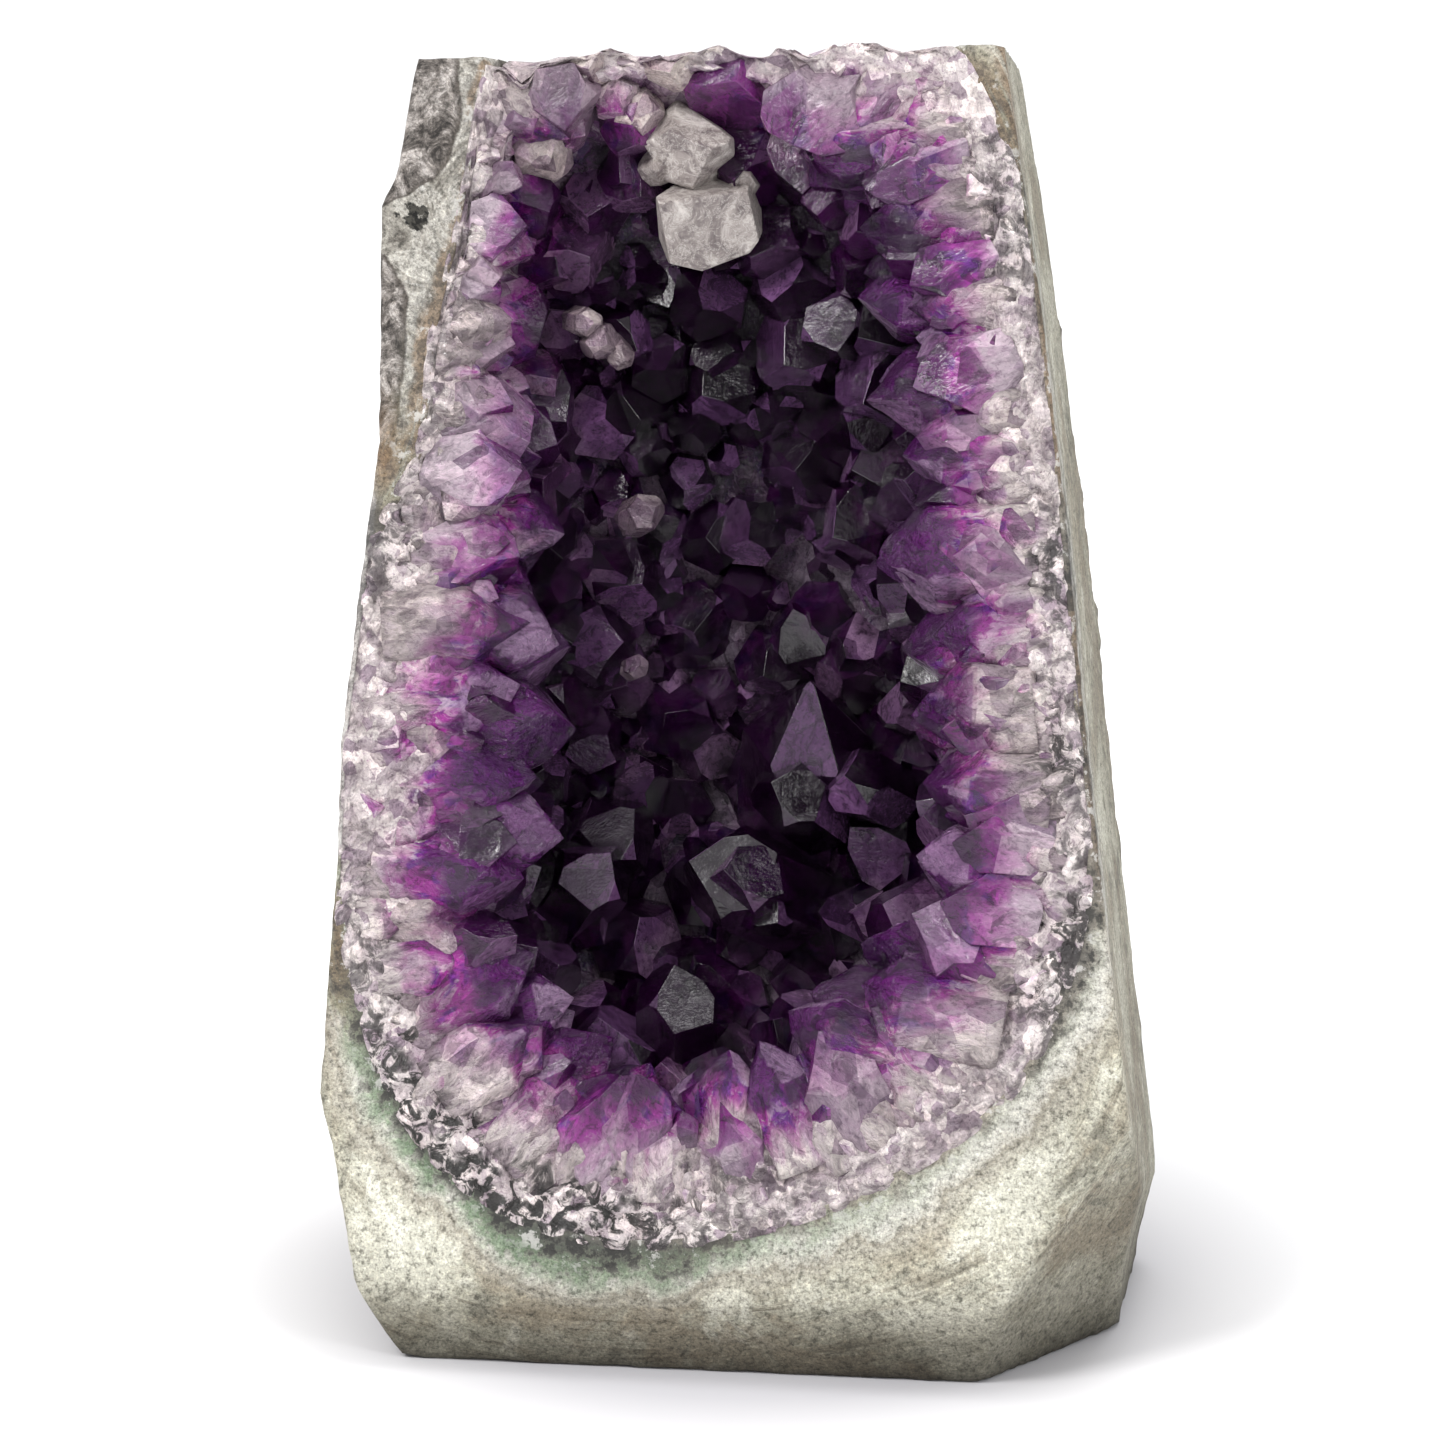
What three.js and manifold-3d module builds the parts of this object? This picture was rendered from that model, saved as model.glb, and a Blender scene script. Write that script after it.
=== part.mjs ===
// Amethyst geode section that stands on a sawn base, in millimetres, +Z up, the open face towards -Y.
// The open face leans back. Places on the stone are given in the face's own directions:
// u runs right along the face, v runs up along it, and w runs straight into the stone.
import * as THREE from "three";
import { mergeVertices } from "three/addons/utils/BufferGeometryUtils.js";
import Module from "manifold-3d";

// Driving dimensions of the block
const FACE_LEAN = THREE.MathUtils.degToRad(14);
const FACE_ORIGIN = { x: -2.28, y: -25.06, z: 102 };
const FACE_TOP = 105.5;
const CRYSTAL_TOP = 106.5;
const TOP_SLOPE = 0.044;
const CRYSTAL_PROUD = 1.6;
const BACK_DEPTH = 72;
const BACK_TAPER = 0.2;
const BACK_CURVE = 0.0008;
const BACK_LUMP = 2.6;
const ROCK_GAP = 0.3;

// Bevels at the foot: a place on each in x, y, z from FACE_ORIGIN, and the way it faces
const FOOT_BEVELS = [
  { through: [0, -22.1, -88.6], facing: [0.02, -1, -0.33] },
  { through: [43.9, -16.5, -102], facing: [0.813, -0.582, -0.382] },
  { through: [-56, -22.1, -88.6], facing: [-0.88, -0.08, -0.47] },
];

// Outline of the sawn face, clockwise from the top left corner, as u and v
const FACE_OUTLINE = [
  [-50.9, 110],
  [40.0, 110],
  [47.6, 67.5],
  [52.4, 36.5],
  [58.4, -10],
  [65.9, -59.8],
  [67.4, -72],
  [64.6, -84],
  [63.6, -93],
  [62.6, -110],
  [-52, -110],
  [-55.8, -92.2],
  [-60.6, -68.5],
  [-63.1, -61.9],
  [-62.1, -47.9],
  [-61.2, -25.6],
  [-61.1, -5],
  [-59.3, 14.1],
  [-57.5, 33.2],
  [-56.5, 42.7],
  [-56.9, 60.1],
  [-57.4, 79.8],
  [-54.7, 86.2],
  [-53.5, 96.5],
];

// Curves of the hollow on the sawn face, as u and v about HOLLOW_CENTRE
const HOLLOW_CENTRE = [-3, 5];
const WALL_CURVE = [
  [-41, 102.9],
  [-42.4, 82.5],
  [-44.1, 74.6],
  [-46.8, 65.1],
  [-47.8, 41.4],
  [-54.9, 28.5],
  [-61.5, 12],
  [-63, -4],
  [-60.5, -24],
  [-55.7, -46],
  [-50.3, -61.7],
  [-37.8, -75.4],
  [-16.7, -82.3],
  [8.6, -78.7],
  [30.4, -69],
  [48.7, -54.1],
  [56.5, -30.3],
  [54.1, 5.5],
  [50, 44.2],
  [46.6, 72.1],
  [42.2, 87.6],
  [33.8, 104.5],
  [20, 122],
  [-5, 128],
  [-34, 121],
];
const ROOT_CURVE = [
  [-36, 99],
  [-42, 66],
  [-42, 46.5],
  [-41, 25],
  [-42, 3],
  [-43, -21],
  [-42, -42],
  [-29, -63],
  [1.5, -65.5],
  [26, -56],
  [42, -32],
  [44, -3],
  [39, 20],
  [38, 43.5],
  [34, 67],
  [28, 91],
  [-6.9, 104],
];
const TIP_CURVE = [
  [-29, 92.3],
  [-37.7, 65.3],
  [-33.8, 46.5],
  [-29.1, 24.6],
  [-26, 2.6],
  [-28.4, -21.2],
  [-32.6, -37.1],
  [-20.9, -54],
  [1.5, -54.6],
  [18.6, -46],
  [32.1, -26.6],
  [36, -3],
  [24.2, 20],
  [26.5, 43.5],
  [22.6, 66.9],
  [18.7, 87.1],
  [-6.9, 97.4],
];
const WALL_DEPTH = 56;
const ROOT_DEPTH = 43;
const DEPTH_TAPER = 0.17;
const BOWL_POWER = 2.4;
const FLOOR_POWER = 2.2;
const WALL_GRID = [30, 8];
const ROOT_GRID = [14, 5];

// Crystals: spacing, length and the steepness of a rhombohedral face against the crystal's axis
const POINT_STEEPNESS = 1.27;
const INNER_SPACING = 13.2;
const INNER_TRIES = 2600;
const RIM_SPACING = 12.5;
const ROOT_BURY = 6;
const ROOT_INSET = 6.5;
const FOOT_MARGIN = 5;

// The large crystals that are recognised one by one: tip as u, v, w, the way it points, its
// half width, its length and its turn about its own axis in degrees
const LARGE_CRYSTALS = [
  { tip: [8.4, 5.5, 24], points: [-0.15, 0.75, -0.64], half: 6.2, length: 24, turn: 62 },
  { tip: [-6.6, -22.5, 15], points: [-0.72, 0.34, -0.6], half: 7.4, length: 24, turn: 20 },
  { tip: [4.4, -36, 18], points: [0.1, -0.25, -0.96], half: 6.4, length: 16, turn: 84 },
  { tip: [-8.1, -39.3, 14], points: [0.05, 0.62, -0.78], half: 6.4, length: 22, turn: 60 },
  { tip: [-33, 38.5, 12], points: [-0.28, 0.42, -0.86], half: 8.2, length: 22, turn: 10 },
  { tip: [-16.7, 34.4, 30], points: [0.25, 0.1, -0.96], half: 4.4, length: 16, turn: 45 },
  { tip: [-1, 97.5, 4], points: [0.05, -0.35, -0.93], half: 8, length: 15, turn: 70 },
  { tip: [-18, 58, 18], points: [0.2, -0.25, -0.95], half: 4.8, length: 14, turn: 30 },
  { tip: [8.6, 84, 9], points: [0.1, -0.5, -0.86], half: 6.8, length: 18, turn: 0 },
  { tip: [25, -28, 8], points: [-0.45, 0.35, -0.82], half: 6.6, length: 22, turn: 15 },
  { tip: [18, 62, 13], points: [-0.3, -0.15, -0.94], half: 6.6, length: 18, turn: 50 },
  { tip: [6.3, 18.5, 31], points: [-0.1, 0.3, -0.95], half: 5.6, length: 16, turn: 25 },
  { tip: [-14, 66, 22], points: [0.1, -0.45, -0.89], half: 7.2, length: 20, turn: 88 },
  { tip: [-16.4, -15, 24], points: [0.3, 0.5, -0.81], half: 6.2, length: 18, turn: 95 },
  { tip: [16.2, 41, 22], points: [-0.5, -0.1, -0.86], half: 6.2, length: 18, turn: 35 },
  { tip: [31, -13, 6], points: [-0.6, 0.2, -0.78], half: 5.4, length: 16, turn: 12 },
];

// The pale calcite blocks at the top of the hollow: centre as u, v, w, size and turn in degrees
const CALCITE_BLOCKS = [
  { centre: [-9, 93.5, 10], size: [15, 10, 12], turn: [18, 28, 12] },
  { centre: [-13, 97, 8], size: [9, 9, 9], turn: [40, 10, 35] },
  { centre: [-7, 80, 17], size: [15, 13, 12], turn: [32, 24, -18] },
  { centre: [-30, 88, 9], size: [9, 8, 9], turn: [20, 40, 10] },
];

const wasm = await Module();
wasm.setup();

// A repeatable number between 0 and 1 for a place in a sequence
function chance(place, draw) {
  const wave = Math.sin(place * 12.9898 + draw * 78.233) * 43758.5453;
  return wave - Math.floor(wave);
}

// A direction given as u, v, w turned into x, y, z
function faceDirection([u, v, w]) {
  const sine = Math.sin(FACE_LEAN);
  const cosine = Math.cos(FACE_LEAN);
  return new THREE.Vector3(u, v * sine + w * cosine, v * cosine - w * sine);
}

// A place given as u, v, w turned into x, y, z
function facePoint(place) {
  const { x, y, z } = FACE_ORIGIN;
  return faceDirection(place).add(new THREE.Vector3(x, y, z));
}

// A closed solid from points and triangles, turned so that its faces point out
function solidOf(points, triangles) {
  let volume = 0;
  for (const [a, b, c] of triangles) {
    volume += points[a].dot(new THREE.Vector3().crossVectors(points[b], points[c]));
  }
  const order = volume < 0 ? ([a, b, c]) => [a, c, b] : (triangle) => triangle;
  const vertProperties = new Float32Array(points.flatMap((point) => point.toArray()));
  const triVerts = new Uint32Array(triangles.flatMap(order));
  return new wasm.Manifold(new wasm.Mesh({ numProp: 3, vertProperties, triVerts }));
}

// A solid from a three.js geometry whose shared vertices are merged first
function solidOfGeometry(geometry) {
  geometry.deleteAttribute("normal");
  geometry.deleteAttribute("uv");
  const merged = mergeVertices(geometry, 1e-4);
  const vertProperties = merged.attributes.position.array;
  const triVerts = new Uint32Array(merged.index.array);
  return new wasm.Manifold(new wasm.Mesh({ numProp: 3, vertProperties, triVerts }));
}

// A solid skinned over rings of equal length, with a fan to a point at each end
function solidOfRings(rings, firstPoint, lastPoint) {
  const count = rings[0].length;
  const points = [...rings.flat(), firstPoint, lastPoint];
  const triangles = [];
  for (let i = 0; i < count; i++) {
    const next = (i + 1) % count;
    triangles.push([points.length - 2, next, i]);
    const base = (rings.length - 1) * count;
    triangles.push([points.length - 1, base + i, base + next]);
    for (let ring = 0; ring < rings.length - 1; ring++) {
      const here = ring * count;
      triangles.push([here + i, here + next, here + count + i]);
      triangles.push([here + next, here + count + next, here + count + i]);
    }
  }
  return solidOf(points, triangles);
}

// Everything on the outer side of a sawn plane: a large box laid against the plane
function outside(point, normal) {
  const reach = 400;
  const box = new THREE.BoxGeometry(2 * reach, 2 * reach, reach);
  box.translate(0, 0, reach / 2);
  const turn = new THREE.Quaternion().setFromUnitVectors(
    new THREE.Vector3(0, 0, 1),
    normal.clone().normalize(),
  );
  box.applyQuaternion(turn);
  box.translate(point.x, point.y, point.z);
  return solidOfGeometry(box);
}

// Distance from HOLLOW_CENTRE to a curve in the direction of an angle, straight between its points
function curveRadius(curve, angle) {
  const polar = curve
    .map(([u, v]) => [u - HOLLOW_CENTRE[0], v - HOLLOW_CENTRE[1]])
    .map(([u, v]) => [Math.atan2(v, u), Math.hypot(u, v)])
    .sort((a, b) => a[0] - b[0]);
  const full = 2 * Math.PI;
  const wrapped = angle - full * Math.floor((angle - polar[0][0]) / full);
  const after = polar.findIndex(([at]) => at > wrapped);
  const [endAngle, endRadius] = after < 0 ? [polar[0][0] + full, polar[0][1]] : polar[after];
  const [startAngle, startRadius] = polar.at(after < 0 ? -1 : after - 1);
  const share = (wrapped - startAngle) / (endAngle - startAngle);
  return startRadius + (endRadius - startRadius) * share;
}

// The same distance, evened out over 5 degrees to each side
function smoothRadius(curve, angle) {
  const step = THREE.MathUtils.degToRad(5);
  const sides = curveRadius(curve, angle - step) + curveRadius(curve, angle + step);
  return (sides + 2 * curveRadius(curve, angle)) / 4;
}

// A place on a bowl under a curve: reach is 0 at the deepest place and 1 at the sawn face
function bowlPlace(curve, depth, angle, reach) {
  const radius = smoothRadius(curve, angle) * reach;
  const u = HOLLOW_CENTRE[0] + radius * Math.cos(angle);
  const v = HOLLOW_CENTRE[1] + radius * Math.sin(angle);
  const deepest = depth - DEPTH_TAPER * Math.max(0, v);
  const w = deepest * (1 - reach ** BOWL_POWER) ** (1 / FLOOR_POWER);
  return [u, v, w];
}

// A bowl as a solid that also stands out of the sawn face, so that it cuts the face clean
function bowl(curve, depth, grow, [columns, rows]) {
  const rings = [];
  const deepRing = 0.12;
  const standOut = 20;
  for (let row = 0; row <= rows; row++) {
    const slope = (Math.PI / 2) * (deepRing + (1 - deepRing) * (row / rows));
    const ring = [];
    for (let column = 0; column < columns; column++) {
      const angle = (column / columns) * 2 * Math.PI;
      const [u, v, w] = bowlPlace(curve, depth, angle, Math.min(1, Math.sin(slope)));
      const stretch = 1 + grow / smoothRadius(curve, angle);
      const wide = [
        HOLLOW_CENTRE[0] + (u - HOLLOW_CENTRE[0]) * stretch,
        HOLLOW_CENTRE[1] + (v - HOLLOW_CENTRE[1]) * stretch,
      ];
      ring.push(facePoint([...wide, w + grow]));
    }
    rings.push(ring);
  }
  const lift = faceDirection([0, 0, -standOut]);
  rings.push(rings.at(-1).map((point) => point.clone().add(lift)));
  const deepest = bowlPlace(curve, depth, 0, 0);
  const low = facePoint([HOLLOW_CENTRE[0], HOLLOW_CENTRE[1], deepest[2] + grow]);
  const high = facePoint([...HOLLOW_CENTRE, 0]).add(lift);
  return solidOfRings(rings, low, high);
}

// Half width of the natural body to the left and right of its middle at a height on the face:
// the left rounds off just outside the outline, the right is wide enough to be sawn away
function bodyReach(v) {
  const left = v > 40 ? 59.5 : 64 - 0.06 * Math.max(0, v) + 0.02 * Math.min(0, v);
  const right = 67.4 - 0.151 * v;
  return { left, right };
}

// Lumps of the natural surface, as a distance out along it
function lump(u, v, w) {
  const broad = Math.sin(u / 13 + 1.2 * Math.sin(v / 21)) * Math.cos(v / 17 + w / 23);
  const small = Math.sin(u / 6.1 + v / 7.7 + 1.7) * Math.sin(v / 6.7 - w / 8.3);
  return BACK_LUMP * (broad + 0.55 * small);
}

// The natural stone before sawing: cross sections that round off to the left and the back
function naturalBody() {
  const lowest = -122;
  const highest = 122;
  const front = -20;
  const lumpsFrom = 25;
  const sections = 18;
  const steps = 18;
  const roundness = 2 / 3;
  const rings = [];
  for (let section = 0; section <= sections; section++) {
    const v = lowest + ((highest - lowest) * section) / sections;
    const depth = BACK_DEPTH - BACK_TAPER * v - BACK_CURVE * v * v;
    const reach = bodyReach(v);
    const ring = [];
    for (let step = 0; step <= steps; step++) {
      const turn = (Math.PI * step) / steps;
      const across = Math.sign(Math.cos(turn)) * Math.abs(Math.cos(turn)) ** roundness;
      const deep = Math.sin(turn) ** roundness;
      const side = across > 0 ? reach.right : reach.left;
      const u = side * across;
      const w = depth * deep;
      const out = lump(u, v, w) * Math.min(1, w / lumpsFrom);
      ring.push(facePoint([u + out * across, v, w + out * deep]));
    }
    ring.push(facePoint([-reach.left, v, front]));
    ring.push(facePoint([reach.right, v, front]));
    rings.push(ring);
  }
  return solidOfRings(rings, facePoint([0, lowest, 20]), facePoint([0, highest, 20]));
}

// The outline of the face carried straight into the stone, from a plane that stands proud of the face
function outlinePrism(proud) {
  const depth = 160;
  const shape = new THREE.Shape(FACE_OUTLINE.map(([u, v]) => new THREE.Vector2(u, v)));
  const prism = new THREE.ExtrudeGeometry(shape, { depth, bevelEnabled: false });
  prism.translate(0, 0, proud - depth);
  const out = faceDirection([0, 0, -1]);
  const up = faceDirection([0, 1, 0]);
  const frame = new THREE.Matrix4().makeBasis(new THREE.Vector3(1, 0, 0), up, out);
  const { x, y, z } = FACE_ORIGIN;
  prism.applyMatrix4(frame.setPosition(x, y, z));
  return solidOfGeometry(prism);
}

// The top cut, square to the face and a little lower on the left
function topCut(height) {
  return outside(facePoint([0, height, 0]), faceDirection([-TOP_SLOPE, 1, 0.02]));
}

// The stone cut to its block: sawn face and sides, base, bevels at the foot, and top
function sawnBody() {
  const { x, y, z } = FACE_ORIGIN;
  const base = outside(new THREE.Vector3(0, 0, 0), new THREE.Vector3(0, 0, -1));
  const bevels = FOOT_BEVELS.map(({ through, facing }) => {
    const point = new THREE.Vector3(x, y, z).add(new THREE.Vector3(...through));
    return outside(point, new THREE.Vector3(...facing));
  });
  let body = naturalBody().intersect(outlinePrism(0));
  for (const cut of [base, ...bevels, topCut(FACE_TOP)]) {
    body = body.subtract(cut);
  }
  return body;
}

// Whether a place is inside the wall of the crust by more than a margin
function insideWall([u, v, w], margin) {
  const across = u - HOLLOW_CENTRE[0];
  const up = v - HOLLOW_CENTRE[1];
  const radius = smoothRadius(WALL_CURVE, Math.atan2(up, across)) - margin;
  const reach = Math.hypot(across, up) / radius;
  const deepest = WALL_DEPTH - DEPTH_TAPER * Math.max(0, v) - margin;
  return reach < 1 && w < deepest * (1 - reach ** BOWL_POWER) ** (1 / FLOOR_POWER);
}

// Length of a crystal shortened until its foot stays inside the wall
function rootedLength({ tip, points, half, length }) {
  const way = new THREE.Vector3(...points).normalize();
  const foot = (reach) => tip.map((value, i) => value - way.getComponent(i) * reach);
  let rooted = half * POINT_STEEPNESS;
  while (rooted < length && insideWall(foot(rooted + 0.5), FOOT_MARGIN)) {
    rooted += 0.5;
  }
  return Math.min(rooted, length);
}

// A quartz crystal: six prism faces under a point of three large faces
function crystal(form) {
  const { tip, points, half, turn } = form;
  const axis = faceDirection(points).normalize();
  const length = rootedLength(form);
  const helper = Math.abs(axis.z) > 0.9 ? new THREE.Vector3(1, 0, 0) : new THREE.Vector3(0, 0, 1);
  const side = new THREE.Vector3().crossVectors(helper, axis).normalize();
  const across = new THREE.Vector3().crossVectors(axis, side);
  const apex = facePoint(tip);
  const place = (angle, radius, drop) =>
    apex
      .clone()
      .addScaledVector(axis, -drop)
      .addScaledVector(side, Math.cos(angle) * radius)
      .addScaledVector(across, Math.sin(angle) * radius);
  const start = THREE.MathUtils.degToRad(turn);
  const corner = half / Math.cos(Math.PI / 6);
  const vertices = [];
  for (let i = 0; i < 6; i++) {
    vertices.push(place(start + ((i + 0.5) * Math.PI) / 3, corner, length));
  }
  for (let i = 0; i < 6; i++) {
    vertices.push(place(start + ((i + 0.5) * Math.PI) / 3, corner, half * POINT_STEEPNESS));
  }
  for (let i = 1; i < 6; i += 2) {
    vertices.push(place(start + (i * Math.PI) / 3, half, (half * POINT_STEEPNESS) / 2));
  }
  vertices.push(apex);
  const faces = [[5, 4, 3, 2, 1, 0]];
  const ridge = (i) => 12 + (((i % 6) + 6) % 6 - 1) / 2;
  for (let i = 0; i < 6; i++) {
    const low = (i + 5) % 6;
    const top = i % 2 ? [6 + i, ridge(i), 6 + low] : [6 + i, 6 + low];
    faces.push([low, i, ...top]);
    if (i % 2 === 0) {
      faces.push([15, ridge(i - 1), 6 + low, 6 + i, ridge(i + 1)]);
    }
  }
  const triangles = [];
  for (const face of faces) {
    for (let i = 1; i < face.length - 1; i++) {
      triangles.push([face[0], face[i], face[i + 1]]);
    }
  }
  return solidOf(vertices, triangles);
}

// The way out of the crust at a place on the bowl of roots, leaning a little to the open face
function growthWay(angle, reach) {
  const step = 0.04;
  const place = (turn, share) =>
    new THREE.Vector3(...bowlPlace(ROOT_CURVE, ROOT_DEPTH, angle + turn, reach + share));
  const around = place(step, 0).sub(place(-step, 0));
  const outward = place(0, 0).sub(place(0, -step));
  const way = new THREE.Vector3().crossVectors(around, outward).normalize();
  way.z -= 0.25;
  return way.normalize();
}

// Crystals on the inside of the bowl, placed at random but never nearer than the spacing
function innerCrystals(taken) {
  const grown = [];
  for (let place = 1; place <= INNER_TRIES; place++) {
    const angle = 2 * Math.PI * chance(place, 1);
    const reach = Math.sin((Math.PI / 2) * Math.sqrt(chance(place, 2)) * 0.97);
    const root = bowlPlace(ROOT_CURVE, ROOT_DEPTH, angle, reach);
    const near = ({ tip }) => {
      const distance = Math.hypot(tip[0] - root[0], tip[1] - root[1], tip[2] - root[2]);
      return distance < INNER_SPACING;
    };
    const crowded = grown.some(({ root: other }) => {
      const distance = Math.hypot(other[0] - root[0], other[1] - root[1], other[2] - root[2]);
      return distance < INNER_SPACING;
    });
    if (crowded || taken.some(near)) {
      continue;
    }
    const way = growthWay(angle, reach);
    way.x += 0.4 * (chance(place, 3) - 0.5);
    way.y += 0.4 * (chance(place, 4) - 0.5);
    way.normalize();
    const half = 5.4 + 2.2 * chance(place, 5) ** 2;
    const height = half * POINT_STEEPNESS + 5 * chance(place, 6);
    const tip = root.map((value, i) => value + way.getComponent(i) * height);
    const turn = 120 * chance(place, 7);
    grown.push({ root, tip, points: way.toArray(), half, length: height + ROOT_BURY, turn });
  }
  return grown;
}

// Columns side by side in the sawn face, from the wall to the tips that bound the dark hollow
function rimCrystals() {
  const grown = [];
  let walked = 0;
  let last = null;
  let place = 5000;
  for (let degree = 0; degree < 360; degree += 0.5) {
    const angle = THREE.MathUtils.degToRad(degree);
    const wall = smoothRadius(WALL_CURVE, angle) - ROOT_INSET;
    const u = HOLLOW_CENTRE[0] + wall * Math.cos(angle);
    const v = HOLLOW_CENTRE[1] + wall * Math.sin(angle);
    walked += last ? Math.hypot(u - last[0], v - last[1]) : 0;
    last = [u, v];
    if (walked < RIM_SPACING * (grown.length ? 1 : 0) || v > 112) {
      continue;
    }
    walked = 0;
    place += 1;
    grown.push(rimCrystal(place, [u, v, 2]));
  }
  return grown;
}

// One rim column from its root on the wall
function rimCrystal(place, root) {
  const aim = [-2, THREE.MathUtils.clamp(root[1] * 0.95, -34, 82), root[2]];
  const way = new THREE.Vector3(aim[0] - root[0], aim[1] - root[1], 0).normalize();
  way.x += 0.36 * (chance(place, 1) - 0.5);
  way.y += 0.36 * (chance(place, 2) - 0.5);
  way.z = -0.12 - 0.2 * chance(place, 3) + root[2] * 0.02;
  way.normalize();
  const half = 5 + 1.8 * chance(place, 4);
  let reach = 0;
  let inside = false;
  while (!inside && reach < 40) {
    reach += 0.5;
    const u = root[0] + way.x * reach - HOLLOW_CENTRE[0];
    const v = root[1] + way.y * reach - HOLLOW_CENTRE[1];
    inside = Math.hypot(u, v) < smoothRadius(TIP_CURVE, Math.atan2(v, u));
  }
  const length = Math.max(8, reach - 3 + 7 * (chance(place, 5) - 0.5));
  const depth = way.z * length;
  const tip = [root[0] + way.x * length, root[1] + way.y * length, Math.max(1, root[2] + depth)];
  return { tip, points: way.toArray(), half, length, turn: 120 * chance(place, 6) };
}

// A calcite crystal: a leaning block of six faces
function calciteBlock({ centre, size, turn }) {
  const block = new THREE.BoxGeometry(...size);
  const lean = new THREE.Matrix4().makeShear(0.25, 0, 0, 0, 0.2, 0);
  block.applyMatrix4(lean);
  const [x, y, z] = turn.map(THREE.MathUtils.degToRad);
  block.applyMatrix4(new THREE.Matrix4().makeRotationFromEuler(new THREE.Euler(x, y, z)));
  const middle = facePoint(centre);
  block.translate(middle.x, middle.y, middle.z);
  return solidOfGeometry(block);
}

// Crust of quartz and amethyst: the lining between wall and roots with its crystals grown out of it
function crystalCrust(body) {
  const lining = bowl(WALL_CURVE, WALL_DEPTH, 0, WALL_GRID).subtract(
    bowl(ROOT_CURVE, ROOT_DEPTH, 0, ROOT_GRID),
  );
  const crystals = [...rimCrystals(), ...innerCrystals(LARGE_CRYSTALS), ...LARGE_CRYSTALS];
  const grown = crystals.map(crystal).concat(CALCITE_BLOCKS.map(calciteBlock));
  const inWall = bowl(WALL_CURVE, WALL_DEPTH, -0.1, WALL_GRID);
  const within = inWall.intersect(outlinePrism(CRYSTAL_PROUD)).subtract(topCut(CRYSTAL_TOP));
  const crust = lining.intersect(body).add(wasm.Manifold.union(grown).intersect(within));
  return largestBody(crust);
}

// The rind of rock around the crust, with the gap that keeps the two solids apart
function hostRock(body) {
  return largestBody(body.subtract(bowl(WALL_CURVE, WALL_DEPTH, ROCK_GAP, WALL_GRID)));
}

// The one body that matters, without the crumbs that a cut can leave
function largestBody(solid) {
  const bodies = solid.decompose();
  bodies.sort((a, b) => b.volume() - a.volume());
  return bodies[0];
}

// A named mesh with flat faces and its own material
function meshOf(name, solid, colour, roughness) {
  const { vertProperties, triVerts, numProp } = solid.getMesh();
  const geometry = new THREE.BufferGeometry();
  const positions = new Float32Array((vertProperties.length / numProp) * 3);
  for (let i = 0; i < positions.length / 3; i++) {
    positions.set(vertProperties.subarray(i * numProp, i * numProp + 3), i * 3);
  }
  geometry.setAttribute("position", new THREE.BufferAttribute(positions, 3));
  geometry.setIndex(new THREE.BufferAttribute(triVerts, 1));
  const material = new THREE.MeshStandardMaterial({
    color: colour,
    roughness,
    metalness: 0,
    flatShading: true,
  });
  const mesh = new THREE.Mesh(geometry, material);
  mesh.name = name;
  return mesh;
}

const sawn = sawnBody();
const geode = new THREE.Group();
geode.add(meshOf("host_rock", hostRock(sawn), 0xa9a796, 0.85));
geode.add(meshOf("crystal_crust", crystalCrust(sawn), 0x6b3a8e, 0.15));

export default geode;
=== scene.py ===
import math
from itertools import product

import bpy
import numpy as np
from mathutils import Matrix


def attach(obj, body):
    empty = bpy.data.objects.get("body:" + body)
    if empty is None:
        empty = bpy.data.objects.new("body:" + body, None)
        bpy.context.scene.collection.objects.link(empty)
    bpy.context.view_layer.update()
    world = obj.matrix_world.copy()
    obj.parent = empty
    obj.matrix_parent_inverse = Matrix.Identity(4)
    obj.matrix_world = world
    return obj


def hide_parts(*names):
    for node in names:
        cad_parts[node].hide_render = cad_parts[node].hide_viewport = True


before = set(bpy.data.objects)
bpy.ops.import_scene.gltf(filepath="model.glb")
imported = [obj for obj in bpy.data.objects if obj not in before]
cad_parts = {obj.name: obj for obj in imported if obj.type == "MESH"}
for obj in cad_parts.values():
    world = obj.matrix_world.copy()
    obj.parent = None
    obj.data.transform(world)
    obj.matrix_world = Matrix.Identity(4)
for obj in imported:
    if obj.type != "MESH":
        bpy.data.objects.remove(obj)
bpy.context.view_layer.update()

# The block of host rock
# A piece of volcanic rock round the gas hole that it held. It is sawn flat in front, on the right,
# at the top and under the foot, and its back and left side are the natural lumpy rind. Places are
# worked out in millimetres on the sawn face: u to the right, v up along it, w into it.

MILLIMETRE = 0.001
FACE_LEAN = math.radians(14)
FACE_ORIGIN = np.array([-2.28, -25.06, 102])
FACE_TOP = 105.5
TOP_SLOPE = 0.044
BACK_DEPTH = 72
BACK_TAPER = 0.2
BACK_CURVE = 0.0008
BACK_LUMP = 2.6
FOOT_BEVELS = (
    ((0, -22.1, -88.6), (0.02, -1, -0.33)),
    ((43.9, -16.5, -102), (0.813, -0.582, -0.382)),
    ((-56, -22.1, -88.6), (-0.88, -0.08, -0.47)),
)
FACE_OUTLINE = (
    (-50.9, 110), (40, 110), (47.6, 67.5), (52.4, 36.5), (58.4, -10), (65.9, -59.8),
    (67.4, -72), (64.6, -84), (63.6, -93), (62.6, -110), (-52, -110), (-55.8, -92.2),
    (-60.6, -68.5), (-63.1, -61.9), (-62.1, -47.9), (-61.2, -25.6), (-61.1, -5),
    (-59.3, 14.1), (-57.5, 33.2), (-56.5, 42.7), (-56.9, 60.1), (-57.4, 79.8),
    (-54.7, 86.2), (-53.5, 96.5),
)
HOLLOW_CENTRE = (-3, 5)
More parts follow.
